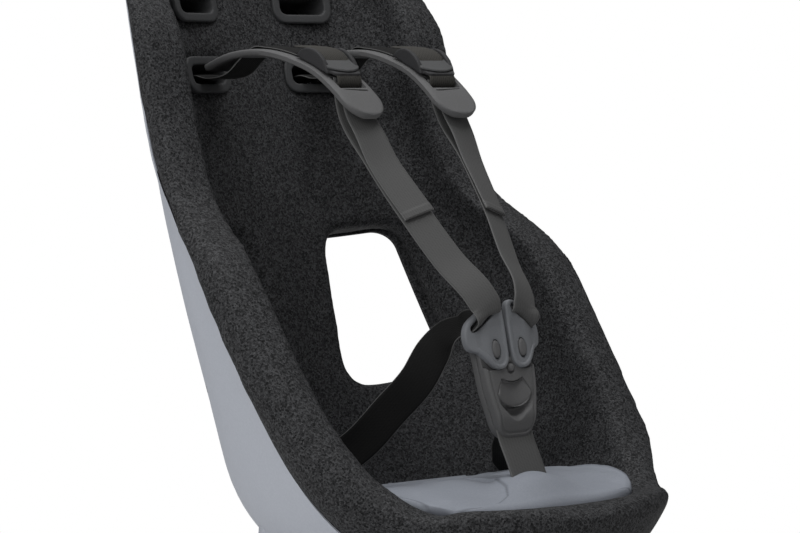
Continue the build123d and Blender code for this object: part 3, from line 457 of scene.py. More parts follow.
shell_piece = piece_from_node("outer_shell", "outer_shell_moulding")
shell_points = read_points(shell_piece)[0]
write_points(shell_piece, shell_points + drawn_flank(seat_mm(shell_points))[1] / 1000)
shell_piece.data.shade_smooth()
shell_piece.data.set_sharp_from_angle(angle=math.radians(35))
dressed(shell_piece, shell_plastic, "seat", "shell_plastic", "outer_shell")
# Painted shade: the vents' walls and the shell's inner face beside them take the foam's dark skin, standing
# in for the shade deep inside the vent holes.
shell_piece.data.materials.append(foam_skin)
vent_middle = np.array([76.4, 30.6, 129.0])
vent_across = np.array([0.9659, -0.2588, 0.0])
vent_down = np.array([-0.08, -0.2985, -0.9511])
vent_axis = np.array([0.2462, 0.9186, -0.309])
vent_outline = [(-52, 66), (56, 60), (28, -70), (-51, -66)]
face_count = len(shell_piece.data.polygons)
face_middles = np.zeros(face_count * 3, np.float32)
face_normals = np.zeros(face_count * 3, np.float32)
shell_piece.data.polygons.foreach_get("center", face_middles)
shell_piece.data.polygons.foreach_get("normal", face_normals)
face_middles = seat_mm(face_middles.reshape(-1, 3))
face_normals = face_normals.reshape(-1, 3).astype(float)
face_normals[:, 0] *= np.sign(face_middles[:, 0])
face_middles[:, 0] = np.abs(face_middles[:, 0])
from_vent = face_middles - vent_middle
on_vent = inside_outline(np.c_[from_vent @ vent_across, from_vent @ vent_down], vent_outline)
wall_limit, inner_limit = 0.8, -0.3
vent_foot, vent_head = 40, 230
facing_rear = face_normals @ vent_axis
vent_shade_faces = on_vent & (np.abs(facing_rear) < wall_limit) & (face_middles[:, 1] > 0)
beside_vent = (face_middles[:, 2] > vent_foot) & (face_middles[:, 2] < vent_head)
vent_shade_faces |= (facing_rear < inner_limit) & beside_vent
shell_piece.data.polygons.foreach_set("material_index", vent_shade_faces.astype(np.int32))


# Seat pad: a soft pad of foam under a smooth skin, lying in the pan and held down by the crotch strap.
# Two sewn-in panels with a fine groove round them flank the pommel.
pad_skin = pebbled_material("pad_skin", 1100, (0.225, 0.243, 0.28), (0.25, 0.268, 0.305), 0.00008)
pad_tree = pad_skin.node_tree
# Painted shade: a darker tone along the panels' seam groove, read from the seam attribute, stands in for the
# shade in the groove.
seam_shade_read = pad_tree.nodes.new("ShaderNodeAttribute")
seam_shade_read.attribute_name = "seam"
seam_shade_tone = pad_tree.nodes.new("ShaderNodeMix")
seam_shade_tone.data_type = "RGBA"
seam_shade_tone.inputs["B"].default_value = (0.13, 0.14, 0.165, 1)
pad_shader = pad_tree.nodes["Principled BSDF"]
pad_tree.links.new(seam_shade_read.outputs["Fac"], seam_shade_tone.inputs["Factor"])
pad_tree.links.new(pad_shader.inputs["Base Color"].links[0].from_socket, seam_shade_tone.inputs["A"])
pad_tree.links.new(seam_shade_tone.outputs["Result"], pad_shader.inputs["Base Color"])
panel_seam = [
    (10, -154), (17, -162), (24, -171), (28, -181), (36, -190), (50, -195), (70, -196), (88, -192),
    (100, -180), (107, -162), (111, -141), (112, -110),
]
panel_outline = panel_seam + [(112, -30), (10, -30)]
crown_line = np.array([
    (-245, 0.5), (-225, 6), (-205, 10.5), (-185, 16.8), (-168, 20.5), (-139, 22.5), (-60, 10), (0, 1),
    (40, -4),
])
floor_line = np.array([(-240, -6), (-205, 1), (-170, 9), (-139, 12), (-60, 1), (0, -9), (40, -12)])
pad_turns, pad_steps = 520, 150
turn = np.linspace(0, 2 * math.pi, pad_turns, endpoint=False)
pad_wide, pad_rear, pad_front = 115, 112.0, 95.0
pad_middle = -111.0
squareness = 3.2
pad_ends = np.where(np.sin(turn) > 0, pad_rear, pad_front)
pad_rim = np.abs(np.cos(turn) / pad_wide) ** squareness + np.abs(np.sin(turn) / pad_ends) ** squareness
pad_rim **= -1 / squareness
pad_share = np.linspace(0.004, 1, pad_steps)
pad_x = np.outer(pad_share, np.cos(turn) * pad_rim).ravel()
pad_y = np.outer(pad_share, np.sin(turn) * pad_rim).ravel() + pad_middle
from_edge = np.outer(1 - pad_share, pad_rim).ravel()
pad_plan = np.c_[np.abs(pad_x), pad_y]
into_panel = from_outline(pad_plan, panel_seam, closed=False)
into_panel *= np.where(inside_outline(pad_plan, panel_outline), 1, -1)
crown_shifts = (-12, -6, 0, 6, 12)
crown = sum(np.interp(pad_y + shift, crown_line[:, 0], crown_line[:, 1]) for shift in crown_shifts)
crown /= len(crown_shifts)
pommel_rise, pommel_spread = 10.5, 31
pommel = pommel_rise * np.exp(-((pad_x / pommel_spread) ** 2))
pommel *= ramp(-pad_y, 146, 180) * (1 - ramp(-pad_y, 184, 209))
panel_depth, panel_fill = 2.2, 0.6
panel_dip = panel_depth * ramp(into_panel, -0.6, 2.6) * (1 - panel_fill * ramp(into_panel, 5, 30))
groove_half = 0.9
seam_groove = np.exp(-((into_panel / groove_half) ** 2))
wave_a = np.sin((pad_x * 0.75 + pad_y * 1.5) / 11.0 + 1.3 * np.sin(pad_y / 19 + pad_x / 47))
wave_b = np.sin((pad_x * 1.2 - pad_y * 0.6) / 19.0 + 0.9 * np.sin(pad_x / 23))
wrinkles = (1.5 * wave_a * np.abs(wave_b) + 0.9 * wave_b) * ramp(into_panel, 3, 18)
edge_round = 5.0
round_over = edge_round * (1 - np.sqrt(1 - (1 - np.clip(from_edge / edge_round, 0, 1)) ** 2))
pad_clearance, least_thickness = 0.6, 1
pad_under = np.interp(pad_y, floor_line[:, 0], floor_line[:, 1]) + pad_clearance
pad_top = crown + pommel + wrinkles - panel_dip - seam_groove - round_over
pad_top = np.maximum(pad_top, pad_under + least_thickness)
pad_corners = np.r_[np.c_[pad_x, pad_y, pad_top], np.c_[pad_x, pad_y, pad_under]]
pad_faces = []
pad_count = pad_turns * pad_steps
for i in range(pad_steps - 1):
    for j in range(pad_turns):
        k = (j + 1) % pad_turns
        quad = (i * pad_turns + j, (i + 1) * pad_turns + j, (i + 1) * pad_turns + k, i * pad_turns + k)
        pad_faces.append(quad)
rim_start = (pad_steps - 1) * pad_turns
under_start = pad_count + rim_start
for j in range(pad_turns):
    k = (j + 1) % pad_turns
    pad_faces.append((rim_start + j, under_start + j, under_start + k, rim_start + k))
pad_faces.append(tuple(range(pad_turns))[::-1])
pad_faces.append(tuple(range(under_start, under_start + pad_turns))[::-1])
pad_mesh = bpy.data.meshes.new("soft_seat_pad")
pad_mesh.from_pydata(from_seat_mm(pad_corners).tolist(), [], pad_faces)
tidy_pad = bmesh.new()
tidy_pad.from_mesh(pad_mesh)
bmesh.ops.delete(tidy_pad, geom=[v for v in tidy_pad.verts if not v.link_faces], context="VERTS")
bmesh.ops.recalc_face_normals(tidy_pad, faces=tidy_pad.faces)
tidy_pad.to_mesh(pad_mesh)
tidy_pad.free()
pad_mesh.shade_smooth()
# The seam attribute carries the painted shade along the groove, strongest on the seam line.
seam_shade_layer = pad_mesh.attributes.new("seam", "FLOAT", "POINT")
mesh_points = np.zeros(len(pad_mesh.vertices) * 3, np.float32)
pad_mesh.vertices.foreach_get("co", mesh_points)
mesh_plan = seat_mm(mesh_points.reshape(-1, 3))[:, :2]
mesh_plan[:, 0] = np.abs(mesh_plan[:, 0])
seam_shade_half = 0.7
seam_shade_marks = np.exp(-((from_outline(mesh_plan, panel_seam, closed=False) / seam_shade_half) ** 2))
seam_shade_layer.data.foreach_set("value", seam_shade_marks.astype(np.float32))
soft_pad = bpy.data.objects.new("soft_seat_pad", pad_mesh)
scene.collection.objects.link(soft_pad)
dressed(soft_pad, pad_skin, "seat", "pad_fabric", "seat_pad")


# Eyelets: oval rings of dark plastic set in the back at two heights for the shoulder straps.
# Each is one moulding, with a sleeve that leads the strap through foam and shell.
eyelet_dark = pebbled_material(
    "eyelet_dark", 1800, (0.034, 0.035, 0.037), (0.044, 0.045, 0.047), 0.00005
)
for place in ("lower_left", "lower_right", "upper_left", "upper_right"):
    ring = piece_from_node("eyelet_" + place, "eyelet_ring_" + place)
    mould(ring, 0.0009, 4)
    dressed(ring, eyelet_dark, "seat", "grey_plastic", "eyelet_" + place)


# Shoulder pads: springy rubber tongues that stand out from the back on the straps.
# Each is moulded in one piece, with a slot before its round tip for a loop of webbing.
pad_rubber = pebbled_material("pad_rubber", 1600, (0.092, 0.092, 0.094), (0.108, 0.108, 0.11), 0.00004)
pad_line = [
    (52.5, 80.0, 301.0), (51.6, 62.0, 307.5), (50.5, 40.0, 311.0), (49.3, 16.0, 311.0),
    (48.0, -10.0, 306.0), (46.8, -34.0, 297.0), (46.0, -51.0, 285.5), (45.0, -71.0, 267.2),
]
pad_level = (0.9987, -0.0513, 0)


def smooth_run(values, spans):
    """Smooth curve through values, with the given number of steps between neighbours."""
    values = np.array(values, float)
    lengths = np.r_[0, np.cumsum(np.linalg.norm(np.diff(values[:, :3], axis=0), axis=1))]
    slopes = np.gradient(values, lengths, axis=0)
    run = []
    for i in range(len(values) - 1):
        step = lengths[i + 1] - lengths[i]
        for t in np.linspace(0, 1, spans, endpoint=False):
            start = (1 + 2 * t) * (1 - t) ** 2 * values[i] + t * (1 - t) ** 2 * step * slopes[i]
            end = t * t * (3 - 2 * t) * values[i + 1] + t * t * (t - 1) * step * slopes[i + 1]
            run.append(start + end)
    run.append(values[-1])
    return np.array(run)


def ringed_piece(name, rings, side):
    """A closed piece skinned over rings of points in seat millimetres, mirrored for the left side."""
    grid = np.array(rings, float)
    if side == "left":
        grid[:, :, 0] *= -1
    count, ring = grid.shape[:2]
    faces = []
    for i in range(count - 1):
        for j in range(ring):
            k = (j + 1) % ring
            faces.append((i * ring + j, i * ring + k, (i + 1) * ring + k, (i + 1) * ring + j))
    faces.append(tuple(range(ring)))
    faces.append(tuple(range((count - 1) * ring, count * ring)))
    mesh = bpy.data.meshes.new(name)
    mesh.from_pydata(from_seat_mm(grid.reshape(-1, 3)).tolist(), [], faces)
    work = bmesh.new()
    work.from_mesh(mesh)
    bmesh.ops.recalc_face_normals(work, faces=work.faces)
    work.to_mesh(mesh)
    work.free()
    mesh.shade_smooth()
    piece = bpy.data.objects.new(name, mesh)
    scene.collection.objects.link(piece)
    return piece


pad_centres = smooth_run(pad_line, 28)
pad_along = np.gradient(pad_centres, axis=0)
pad_along /= np.linalg.norm(pad_along, axis=1)[:, None]
pad_up = np.cross(pad_along, np.array(pad_level))
pad_length = np.r_[0, np.cumsum(np.linalg.norm(np.diff(pad_centres, axis=0), axis=1))]
to_tip = pad_length[-1] - pad_length
tip_radius = 17.0
root_half, pad_widening = 12, 7
pad_half = root_half + pad_widening * ramp(pad_length / pad_length[-1], 0.02, 0.5)
pad_half -= tip_radius - np.sqrt(tip_radius**2 - (tip_radius - np.clip(to_tip, 0, tip_radius)) ** 2)
pad_shares = np.linspace(-1, 1, 49)
pad_half_thick = 2.75
pad_edge = pad_half_thick * (1 - 0.5 * np.abs(pad_shares) ** 14)
slot_depth, slot_place = 4.2, 0.805 * pad_length[-1]
for side in ("left", "right"):
    rings = []
    for i in range(len(pad_centres)):
        offsets = pad_shares * pad_half[i]
        pit = slot_depth * (1 - ramp(abs(pad_length[i] - slot_place), 5.2, 6.2))
        pit = pit * (1 - ramp(np.abs(offsets), 12.6, 13.4))
        thin = 1 - 0.3 * ramp(-to_tip[i], -1.2, 0)
        flat = pad_centres[i] + np.outer(offsets, pad_level)
        top = flat + np.outer(pad_edge * thin - pit, pad_up[i])
        under = flat - np.outer(pad_edge * thin, pad_up[i])
        rings.append(np.r_[top, under[::-1]])
    tongue_pad = ringed_piece("shoulder_pad_rubber_" + side, rings, side)
    tongue_pad.data.set_sharp_from_angle(angle=math.radians(50))
    dressed(tongue_pad, pad_rubber, "seat", "pad_rubber", "shoulder_pad_" + side)


# Webbing: woven polyester straps 25 mm wide. They run from behind the eyelets over the shoulder pads,
# through the adjusters and the tongues' slots, and down to the rear corners of the pan.
weave = bpy.data.node_groups.new("woven_webbing", "ShaderNodeTree")
weave.interface.new_socket("Dark", in_out="INPUT", socket_type="NodeSocketColor")
weave.interface.new_socket("Light", in_out="INPUT", socket_type="NodeSocketColor")
weave.interface.new_socket("Edge", in_out="INPUT", socket_type="NodeSocketColor")
weave.interface.new_socket("Color", in_out="OUTPUT", socket_type="NodeSocketColor")
weave.interface.new_socket("Height", in_out="OUTPUT", socket_type="NodeSocketFloat")
weave_in = weave.nodes.new("NodeGroupInput")
weave_out = weave.nodes.new("NodeGroupOutput")
weave_map = weave.nodes.new("ShaderNodeUVMap")
weave_map.uv_map = "strap"
weave_twill = weave.nodes.new("ShaderNodeTexWave")
weave_twill.wave_type = "BANDS"
weave_twill.bands_direction = "DIAGONAL"
weave_twill.inputs["Scale"].default_value = 210
weave_twill.inputs["Distortion"].default_value = 0.6
weave_warp = weave.nodes.new("ShaderNodeTexWave")
weave_warp.wave_type = "BANDS"
weave_warp.bands_direction = "Y"
weave_warp.inputs["Scale"].default_value = 160
weave_fuzz = weave.nodes.new("ShaderNodeTexNoise")
weave_fuzz.inputs["Scale"].default_value = 900
weave_sum = weave.nodes.new("ShaderNodeMath")
weave_sum.operation = "MULTIPLY_ADD"
weave_sum.inputs[1].default_value = 0.6
weave_mean = weave.nodes.new("ShaderNodeMath")
weave_mean.operation = "MULTIPLY_ADD"
weave_mean.inputs[1].default_value = 0.5
weave_mix = weave.nodes.new("ShaderNodeMix")
weave_mix.data_type = "RGBA"
weave_part = weave.nodes.new("ShaderNodeSeparateXYZ")
weave_off = weave.nodes.new("ShaderNodeMath")
weave_off.operation = "ABSOLUTE"
# Painted highlight: the outermost strip of each face and the strap's edges take the Edge colour, lighter
# than the cloth, for light on the rounded edges.
weave_edge_glint_mask = weave.nodes.new("ShaderNodeMath")
weave_edge_glint_mask.operation = "GREATER_THAN"
weave_edge_glint_mask.inputs[1].default_value = 0.0121
weave_edge_glint = weave.nodes.new("ShaderNodeMix")
weave_edge_glint.data_type = "RGBA"
for pattern in (weave_twill, weave_warp, weave_fuzz):
    weave.links.new(weave_map.outputs["UV"], pattern.inputs["Vector"])
weave.links.new(weave_twill.outputs["Fac"], weave_sum.inputs[0])
weave.links.new(weave_warp.outputs["Fac"], weave_sum.inputs[2])
weave.links.new(weave_sum.outputs["Value"], weave_mean.inputs[0])
weave.links.new(weave_fuzz.outputs["Fac"], weave_mean.inputs[2])
weave.links.new(weave_mean.outputs["Value"], weave_mix.inputs["Factor"])
weave.links.new(weave_in.outputs["Dark"], weave_mix.inputs["A"])
weave.links.new(weave_in.outputs["Light"], weave_mix.inputs["B"])
weave.links.new(weave_map.outputs["UV"], weave_part.inputs["Vector"])
weave.links.new(weave_part.outputs["Y"], weave_off.inputs[0])
weave.links.new(weave_off.outputs["Value"], weave_edge_glint_mask.inputs[0])
weave.links.new(weave_edge_glint_mask.outputs["Value"], weave_edge_glint.inputs["Factor"])
weave.links.new(weave_mix.outputs["Result"], weave_edge_glint.inputs["A"])
weave.links.new(weave_in.outputs["Edge"], weave_edge_glint.inputs["B"])
weave.links.new(weave_edge_glint.outputs["Result"], weave_out.inputs["Color"])
weave.links.new(weave_sum.outputs["Value"], weave_out.inputs["Height"])


def woven_material(name, dark, light, edge):
    """Polyester webbing between two tones, with a painted highlight along its edges and a soft sheen."""
    material = bpy.data.materials.new(name)
    material.use_nodes = True
    tree = material.node_tree
    cloth = tree.nodes.new("ShaderNodeGroup")
    cloth.node_tree = weave
    cloth.inputs["Dark"].default_value = (*dark, 1)
    cloth.inputs["Light"].default_value = (*light, 1)
    cloth.inputs["Edge"].default_value = (*edge, 1)
    relief = tree.nodes.new("ShaderNodeBump")
    relief.inputs["Distance"].default_value = 0.00012
    relief.inputs["Strength"].default_value = 0.5
    shader = tree.nodes["Principled BSDF"]
    shader.inputs["Roughness"].default_value = 0.72
    shader.inputs["Specular IOR Level"].default_value = 0.12
    shader.inputs["Sheen Weight"].default_value = 0.02
    tree.links.new(cloth.outputs["Color"], shader.inputs["Base Color"])
    tree.links.new(cloth.outputs["Height"], relief.inputs["Height"])
    tree.links.new(relief.outputs["Normal"], shader.inputs["Normal"])
    return material


webbing_width, webbing_thickness = 25.0, 1.4
strap_columns = 13
mark_half = 0.0125


def lay_webbing(name, points, acrosses, side, width=webbing_width, thickness=webbing_thickness, hem=0.0):
    """A strap through points in seat millimetres, turned to the directions across.

    A hemmed end is folded double over its last few millimetres.
    """
    run = smooth_run(np.c_[np.array(points, float), np.array(acrosses, float)], 8)
    centres, across = run[:, :3], run[:, 3:6]
    along = np.gradient(centres, axis=0)
    along /= np.linalg.norm(along, axis=1)[:, None]
    across = across - along * np.sum(across * along, axis=1)[:, None]
    across /= np.linalg.norm(across, axis=1)[:, None]
    outward = np.cross(across, along)
    length = np.r_[0, np.cumsum(np.linalg.norm(np.diff(centres, axis=0), axis=1))]
    shares = np.linspace(-1, 1, strap_columns)
    plump = thickness / 2 * (1 - 0.55 * np.abs(shares) ** 7)
    fold = 1 + 1.1 * ramp(length, length[-1] - hem - 1.5, length[-1] - hem) * (hem > 0)
    fold *= 1 - 0.5 * ramp(length, length[-1] - 0.7, length[-1])
    rows = []
    columns = range(strap_columns)
    for sign, order in ((1, columns), (-1, columns[::-1])):
        for j in order:
            lift = (outward.T * sign * plump[j] * fold).T
            rows.append(centres + across * shares[j] * width / 2 + lift)
    grid = np.array(rows).transpose(1, 0, 2)
    if side == "left":
        grid[:, :, 0] *= -1
    count, ring = grid.shape[:2]
    faces = []
    marks = []
    offsets = np.r_[shares, shares[::-1]] * mark_half
    for i in range(count - 1):
        for j in range(ring):
            k = (j + 1) % ring
            corners = [(i, j), (i, k), (i + 1, k), (i + 1, j)]
            if side == "left":
                corners = corners[::-1]
            faces.append([a * ring + b for a, b in corners])
            marks += [(length[a] / 1000, offsets[b]) for a, b in corners]
    for i, turn in ((0, 1), (count - 1, -1)):
        end = list(range(ring))[:: turn if side == "right" else -turn]
        faces.append([i * ring + b for b in end])
        marks += [(length[i] / 1000, offsets[b]) for b in end]
    mesh = bpy.data.meshes.new(name)
    mesh.from_pydata(from_seat_mm(grid.reshape(-1, 3)).tolist(), [], faces)
    layer = mesh.uv_layers.new(name="strap")
    layer.data.foreach_set("uv", np.array(marks, np.float32).ravel())
    mesh.shade_smooth()
    strap = bpy.data.objects.new(name, mesh)
    scene.collection.objects.link(strap)
    return strap


# Each webbing's third tone is the painted highlight on its edges.
webbing_grey = woven_material(
    "webbing_grey", (0.066, 0.066, 0.066), (0.088, 0.088, 0.088), (0.13, 0.13, 0.13)
)
webbing_dark = woven_material(
    "webbing_dark", (0.0035, 0.0035, 0.0036), (0.008, 0.008, 0.008), (0.1, 0.1, 0.1)
)
level = (1, 0, 0)
slot_slant = (0.82, 0.03, -0.57)
anchor_run = [
    (55.4, 136.3, 283.7), (54.3, 115.1, 289.4), (53.1, 92.4, 295.5), (52.4, 78.0, 293.5),
    (51.4, 58.0, 297.0), (50.7, 45.5, 306.5), (50.4, 38.8, 311.1), (50.0, 31.6, 315.4),
    (49.4, 19.5, 315.2), (48.8, 8.2, 313.9), (48.2, -3.0, 311.8), (47.8, -12.3, 309.4),
]
strap_run = [
    (46.0, -46.4, 293.6), (46.3, -47.0, 288.7), (46.8, -53.0, 268.0), (44.3, -78.0, 236.0),
    (41.5, -91.5, 218.5), (38.0, -106.0, 200.5), (29.6, -129.5, 170.0), (21.6, -151.2, 146.5),
    (18.9, -154.2, 139.0), (18.6, -154.0, 133.6), (18.6, -150.4, 130.6), (18.6, -146.5, 129.3),
]
half_turned = (0.98, 0.19, -0.25)
strap_turn = [
    level, level, (1, 0.06, -0.02), (0.99, 0.16, -0.14), (0.98, 0.19, -0.2), half_turned,
    (0.93, 0.12, -0.37), (0.86, 0.06, -0.5),
] + [slot_slant] * 4
tail_run = [
    (46.2, -54.6, 286.0), (46.6, -58.5, 272.0), (45.6, -70.0, 254.0), (44.2, -79.7, 237.3),
    (41.4, -93.2, 219.9), (38.9, -103.6, 207.4), (38.1, -107.6, 202.8), (37.8, -109.2, 200.9),
]
tail_turn = [
    level, (1, 0.06, -0.02), (1, 0.12, -0.08), (0.99, 0.16, -0.14), (0.98, 0.19, -0.2),
    (0.98, 0.19, -0.24), half_turned, half_turned,
]
lap_run = [
    (18.6, -146.0, 129.2), (20.5, -143.5, 128.8), (27.0, -138.6, 127.0), (33.0, -130.6, 121.6),
    (39.0, -123.2, 108.6), (47.0, -116.8, 90.4), (58.0, -100.0, 67.5), (70.0, -86.1, 46.9),
    (90.0, -68.0, 27.0), (103.0, -56.5, 15.0), (107.5, -52.0, 2.0), (107.5, -52.0, -14.0),
    (107.5, -52.0, -32.0), (107.5, -52.0, -50.0),
]
lap_turn = [
    slot_slant, slot_slant, (0.75, -0.35, -0.55), (0.4, -0.55, -0.73), (-0.2, -0.62, -0.75),
    (-0.5, -0.6, -0.62), (-0.57, -0.57, -0.58), (-0.5, -0.68, -0.5), (-0.3, -0.9, -0.3), (-0.1, -1, -0.1),
] + [(0, -1, 0)] * 4
flap_run = [
    (53.0, 117.0, 254.0), (53.0, 124.0, 268.0), (53.0, 130.5, 285.0), (53.0, 133.5, 300.0),
    (53.0, 138.0, 318.0), (53.0, 145.0, 345.0), (53.0, 148.5, 366.0),
]
anchor_turn = [pad_level] * len(anchor_run)
flap_turn = [(0.94, -0.34, 0)] * len(flap_run)
flap_width, tail_hem = 58.0, 5.0
for side in ("left", "right"):
    anchor = lay_webbing("anchor_webbing_" + side, anchor_run, anchor_turn, side)
    dressed(anchor, webbing_dark, "seat", "dark_webbing", "anchor_strap_" + side)
    shoulder = lay_webbing("shoulder_webbing_" + side, strap_run, strap_turn, side)
    dressed(shoulder, webbing_grey, "seat", "grey_webbing", "shoulder_strap_" + side)
    tail = lay_webbing("tail_webbing_" + side, tail_run, tail_turn, side, hem=tail_hem)
    dressed(tail, webbing_grey, "seat", "grey_webbing", "strap_tail_" + side)
    lap = lay_webbing("lap_webbing_" + side, lap_run, lap_turn, side)
    dressed(lap, webbing_dark, "seat", "dark_webbing", "lap_strap_" + side)
    flap = lay_webbing("strap_flap_" + side, flap_run, flap_turn, side, width=flap_width)
    dressed(flap, webbing_dark, "seat", "dark_webbing")

crotch_run = [
    (0, -181.0, -60.0), (0, -181.5, -30.0), (0, -183.0, -5.0), (0, -182.4, 8.0), (0, -179.5, 18.0),
    (0, -174.5, 29.0), (0, -169.5, 39.0), (0, -164.8, 48.0), (0, -160.2, 60.0),
]
crotch_turn = [level] * len(crotch_run)
crotch = lay_webbing("crotch_webbing", crotch_run, crotch_turn, "right", width=34.0, thickness=2.0)
dressed(crotch, webbing_grey, "seat", "grey_webbing", "crotch_strap")


# Adjusters: moulded slides with two rounded cheeks and bars, round which the webbing is threaded.
# The webbing humps over the bars, and a loop of it dives into the pad's slot in front of the flat tab.
fitting_dark = pebbled_material(
    "fitting_dark", 1500, (0.022, 0.022, 0.024), (0.032, 0.032, 0.034), 0.00008
)
slide_grey = pebbled_material(
    "slide_grey", 1800, (0.058, 0.059, 0.061), (0.068, 0.069, 0.071), 0.00005
)
# The wraps round the adjusters take a paler, browner webbing than the dark straps, and its third tone is the
# painted edge highlight.
webbing_pale_wrap = woven_material(
    "webbing_pale_wrap", (0.012, 0.0117, 0.011), (0.05, 0.048, 0.044), (0.06, 0.058, 0.054)
)
slide_middle = np.array([46.9, -29.0, 302.9])
slide_axes = np.array([(0.0471, 0.917, 0.3961), (-0.0203, -0.3956, 0.9182)])
hump_side = [(24, 3.6), (18, 5.6), (12, 7.6), (6, 8.7), (0, 8.6), (-5, 6.8), (-8.5, 3.8), (-9.6, 0.8)]
loop_side = [
    (-11, -0.6), (-15, 0.4), (-18.5, 1.0), (-21.5, 0.2), (-23.4, -2.6), (-23.6, -6.5), (-22.5, -10),
]
wraps = (("adjuster_hump_", hump_side, 24.6), ("adjuster_loop_", loop_side, 23.5))
wrap_thickness = 1.7
lip_half, lip_reach, lip_bow = 15.8, -20.0, 6.0
for side in ("left", "right"):
    slide = piece_from_node("adjuster_" + side, "adjuster_slide_" + side)
    mould(slide, 0.0007, 4)
    dressed(slide, fitting_dark, "seat", "grey_plastic", "adjuster_" + side)
    lip_rings = []
    for share in np.linspace(-1, 1, 25):
        front = lip_reach + lip_bow * abs(share) ** 2.2
        lip_view = [(-5.0, 6.8), (-5.0, 5.2), (front + 0.6, 3.0), (front, 3.8), (front + 0.6, 4.6)]
        places = slide_middle + np.array(lip_view) @ slide_axes
        lip_rings.append(places + share * lip_half * np.array(pad_level))
    lip = ringed_piece("adjuster_lip_" + side, lip_rings, side)
    lip.data.set_sharp_from_angle(angle=math.radians(40))
    dressed(lip, slide_grey, "seat", "grey_plastic")
    for name, side_view, wide in wraps:
        run = slide_middle + np.array(side_view) @ slide_axes
        turns = [pad_level] * len(run)
        wrap = lay_webbing(name + side, run, turns, side, width=wide, thickness=wrap_thickness)
        dressed(wrap, webbing_pale_wrap, "seat", "dark_webbing")


# Buckle: two moulded halves, the two tongues that plug into it from above, and the push button.
# A shallow channel follows the front's edge, and each tongue has a raised rim round a dished plate.
buckle_grey = pebbled_material(
    "buckle_grey", 1800, (0.098, 0.098, 0.1), (0.112, 0.112, 0.114), 0.00005
)
fitting_grey = pebbled_material(
    "fitting_grey", 1800, (0.155, 0.162, 0.175), (0.172, 0.18, 0.193), 0.00005
)
buckle_face = np.array([0, -162.5, 82.0])
buckle_lean = math.radians(12.6)
buckle_up = np.array([0, math.sin(buckle_lean), math.cos(buckle_lean)])
buckle_out = np.array([0, -math.cos(buckle_lean), math.sin(buckle_lean)])
buckle_outline = [
    (-26, 36), (26, 36), (21.5, -24), (18, -29), (10, -31), (-10, -31), (-18, -29), (-21.5, -24),
]
tongue_outline = [
    (1.6, 24), (1.6, 50), (2.2, 58), (4.5, 62), (9, 63), (20, 58), (29.5, 52), (33.5, 48), (36, 42),
    (36, 35), (34, 30.5), (30.5, 28.8), (27.5, 28.2), (24, 24.5), (19.5, 19.2), (15.5, 16.2),
    (11.5, 15.4), (7, 16.2), (3.5, 19),
]
strap_opening = [(7, 56.2), (26, 42.8), (29.5, 41.8), (31.2, 44.5), (29, 48), (10.5, 59.8), (7.5, 59.4)]
stud_turn = np.linspace(0, 2 * math.pi, 12, endpoint=False)
stud_across, stud_up = 12.8, 29.3
stud_wide, stud_high = 4.3, 7.2
stud_opening = [
    (stud_across + stud_wide * math.cos(a), stud_up + stud_high * math.sin(a)) for a in stud_turn
]


def on_buckle_face(points):
    """Places across, up and out of the buckle's front face, in millimetres."""
    reach = seat_mm(points) - buckle_face
    return reach[:, 0], reach @ buckle_up, reach @ buckle_out


def rounded(outline):
    """An outline with its corners cut twice."""
    points = np.array(outline, float)
    for _ in range(2):
        ahead = np.roll(points, -1, axis=0)
        near, far = 0.75 * points + 0.25 * ahead, 0.25 * points + 0.75 * ahead
        points = np.stack([near, far], axis=1).reshape(-1, 2)
    return points


def moulded_plate(name, outlines, thickness, edge):
    """A flat moulding from its outline and openings in millimetres, with rounded edges."""
    drawing = bpy.data.curves.new(name, "CURVE")
    drawing.dimensions = "2D"
    drawing.fill_mode = "BOTH"
    drawing.extrude = (thickness / 2 - edge) / 1000
    drawing.bevel_depth = edge / 1000
    drawing.bevel_resolution = 3
    drawing.offset = -edge / 1000
    for outline in outlines:
        points = rounded(outline) / 1000
        spline = drawing.splines.new("POLY")
        spline.points.add(len(points) - 1)
        flat = np.c_[points, np.zeros(len(points)), np.ones(len(points))]
        spline.points.foreach_set("co", flat.ravel())
        spline.use_cyclic_u = True
    pattern = bpy.data.objects.new(name + "_pattern", drawing)
    scene.collection.objects.link(pattern)
    bpy.context.view_layer.update()
    evaluated = pattern.evaluated_get(bpy.context.evaluated_depsgraph_get())
    mesh = bpy.data.meshes.new_from_object(evaluated)
    bpy.data.objects.remove(pattern)
    plate = bpy.data.objects.new(name, mesh)
    scene.collection.objects.link(plate)
    mould(plate, 0.00045, 2)
    return plate


button_dish, button_half = 3.6, 15
channel_depth, scoop_depth, rivet_pit = 0.7, 2.6, 1.6
lip_bend, foot_taper = 4.0, 0.2
for node in ("buckle_front", "buckle_back", "release_button"):
    half = piece_from_node(node, node + "_moulding")
    mould(half, 0.0006, 3)
    half_points, half_normals = read_points(half)
    across, up, out = on_buckle_face(half_points)
    facing_out = ramp(half_normals @ buckle_out, 0.4, 0.8)
    if node == "release_button":
        sunk = button_dish * (1 - np.clip(np.abs(across) / button_half, 0, 1) ** 2) * facing_out
        half_points -= (buckle_out[:, None] * sunk).T / 1000
    else:
        if node == "buckle_front":
            inward = from_outline(np.c_[across, up], buckle_outline)
            sunk = channel_depth * ramp(inward, 2.6, 3.1) * (1 - ramp(inward, 3.6, 4.4)) * (out > -1.5)
            scoop = np.hypot((across - 1) / 19, (up + 5.5) / 12)
            sunk += scoop_depth * (1 - ramp(scoop, 0.7, 1.0)) * ramp(-up, 0, 5)
            from_rivet = np.hypot(across / 4.3, (up - 16.5) / 4.8)
            sunk += rivet_pit * (1 - ramp(from_rivet, 0.8, 1.0))
            half_points -= (buckle_out[:, None] * sunk * facing_out).T / 1000
        bent_back = lip_bend * ramp(-up, 15, 32) * ramp(out, -9, 0)
        half_points -= (buckle_out[:, None] * bent_back).T / 1000
        half_points[:, 0] -= across * foot_taper * ramp(-up, -8, 31) / 1000
    write_points(half, half_points)
    dressed(half, buckle_grey, nodes[node]["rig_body"], "buckle_plastic", node)

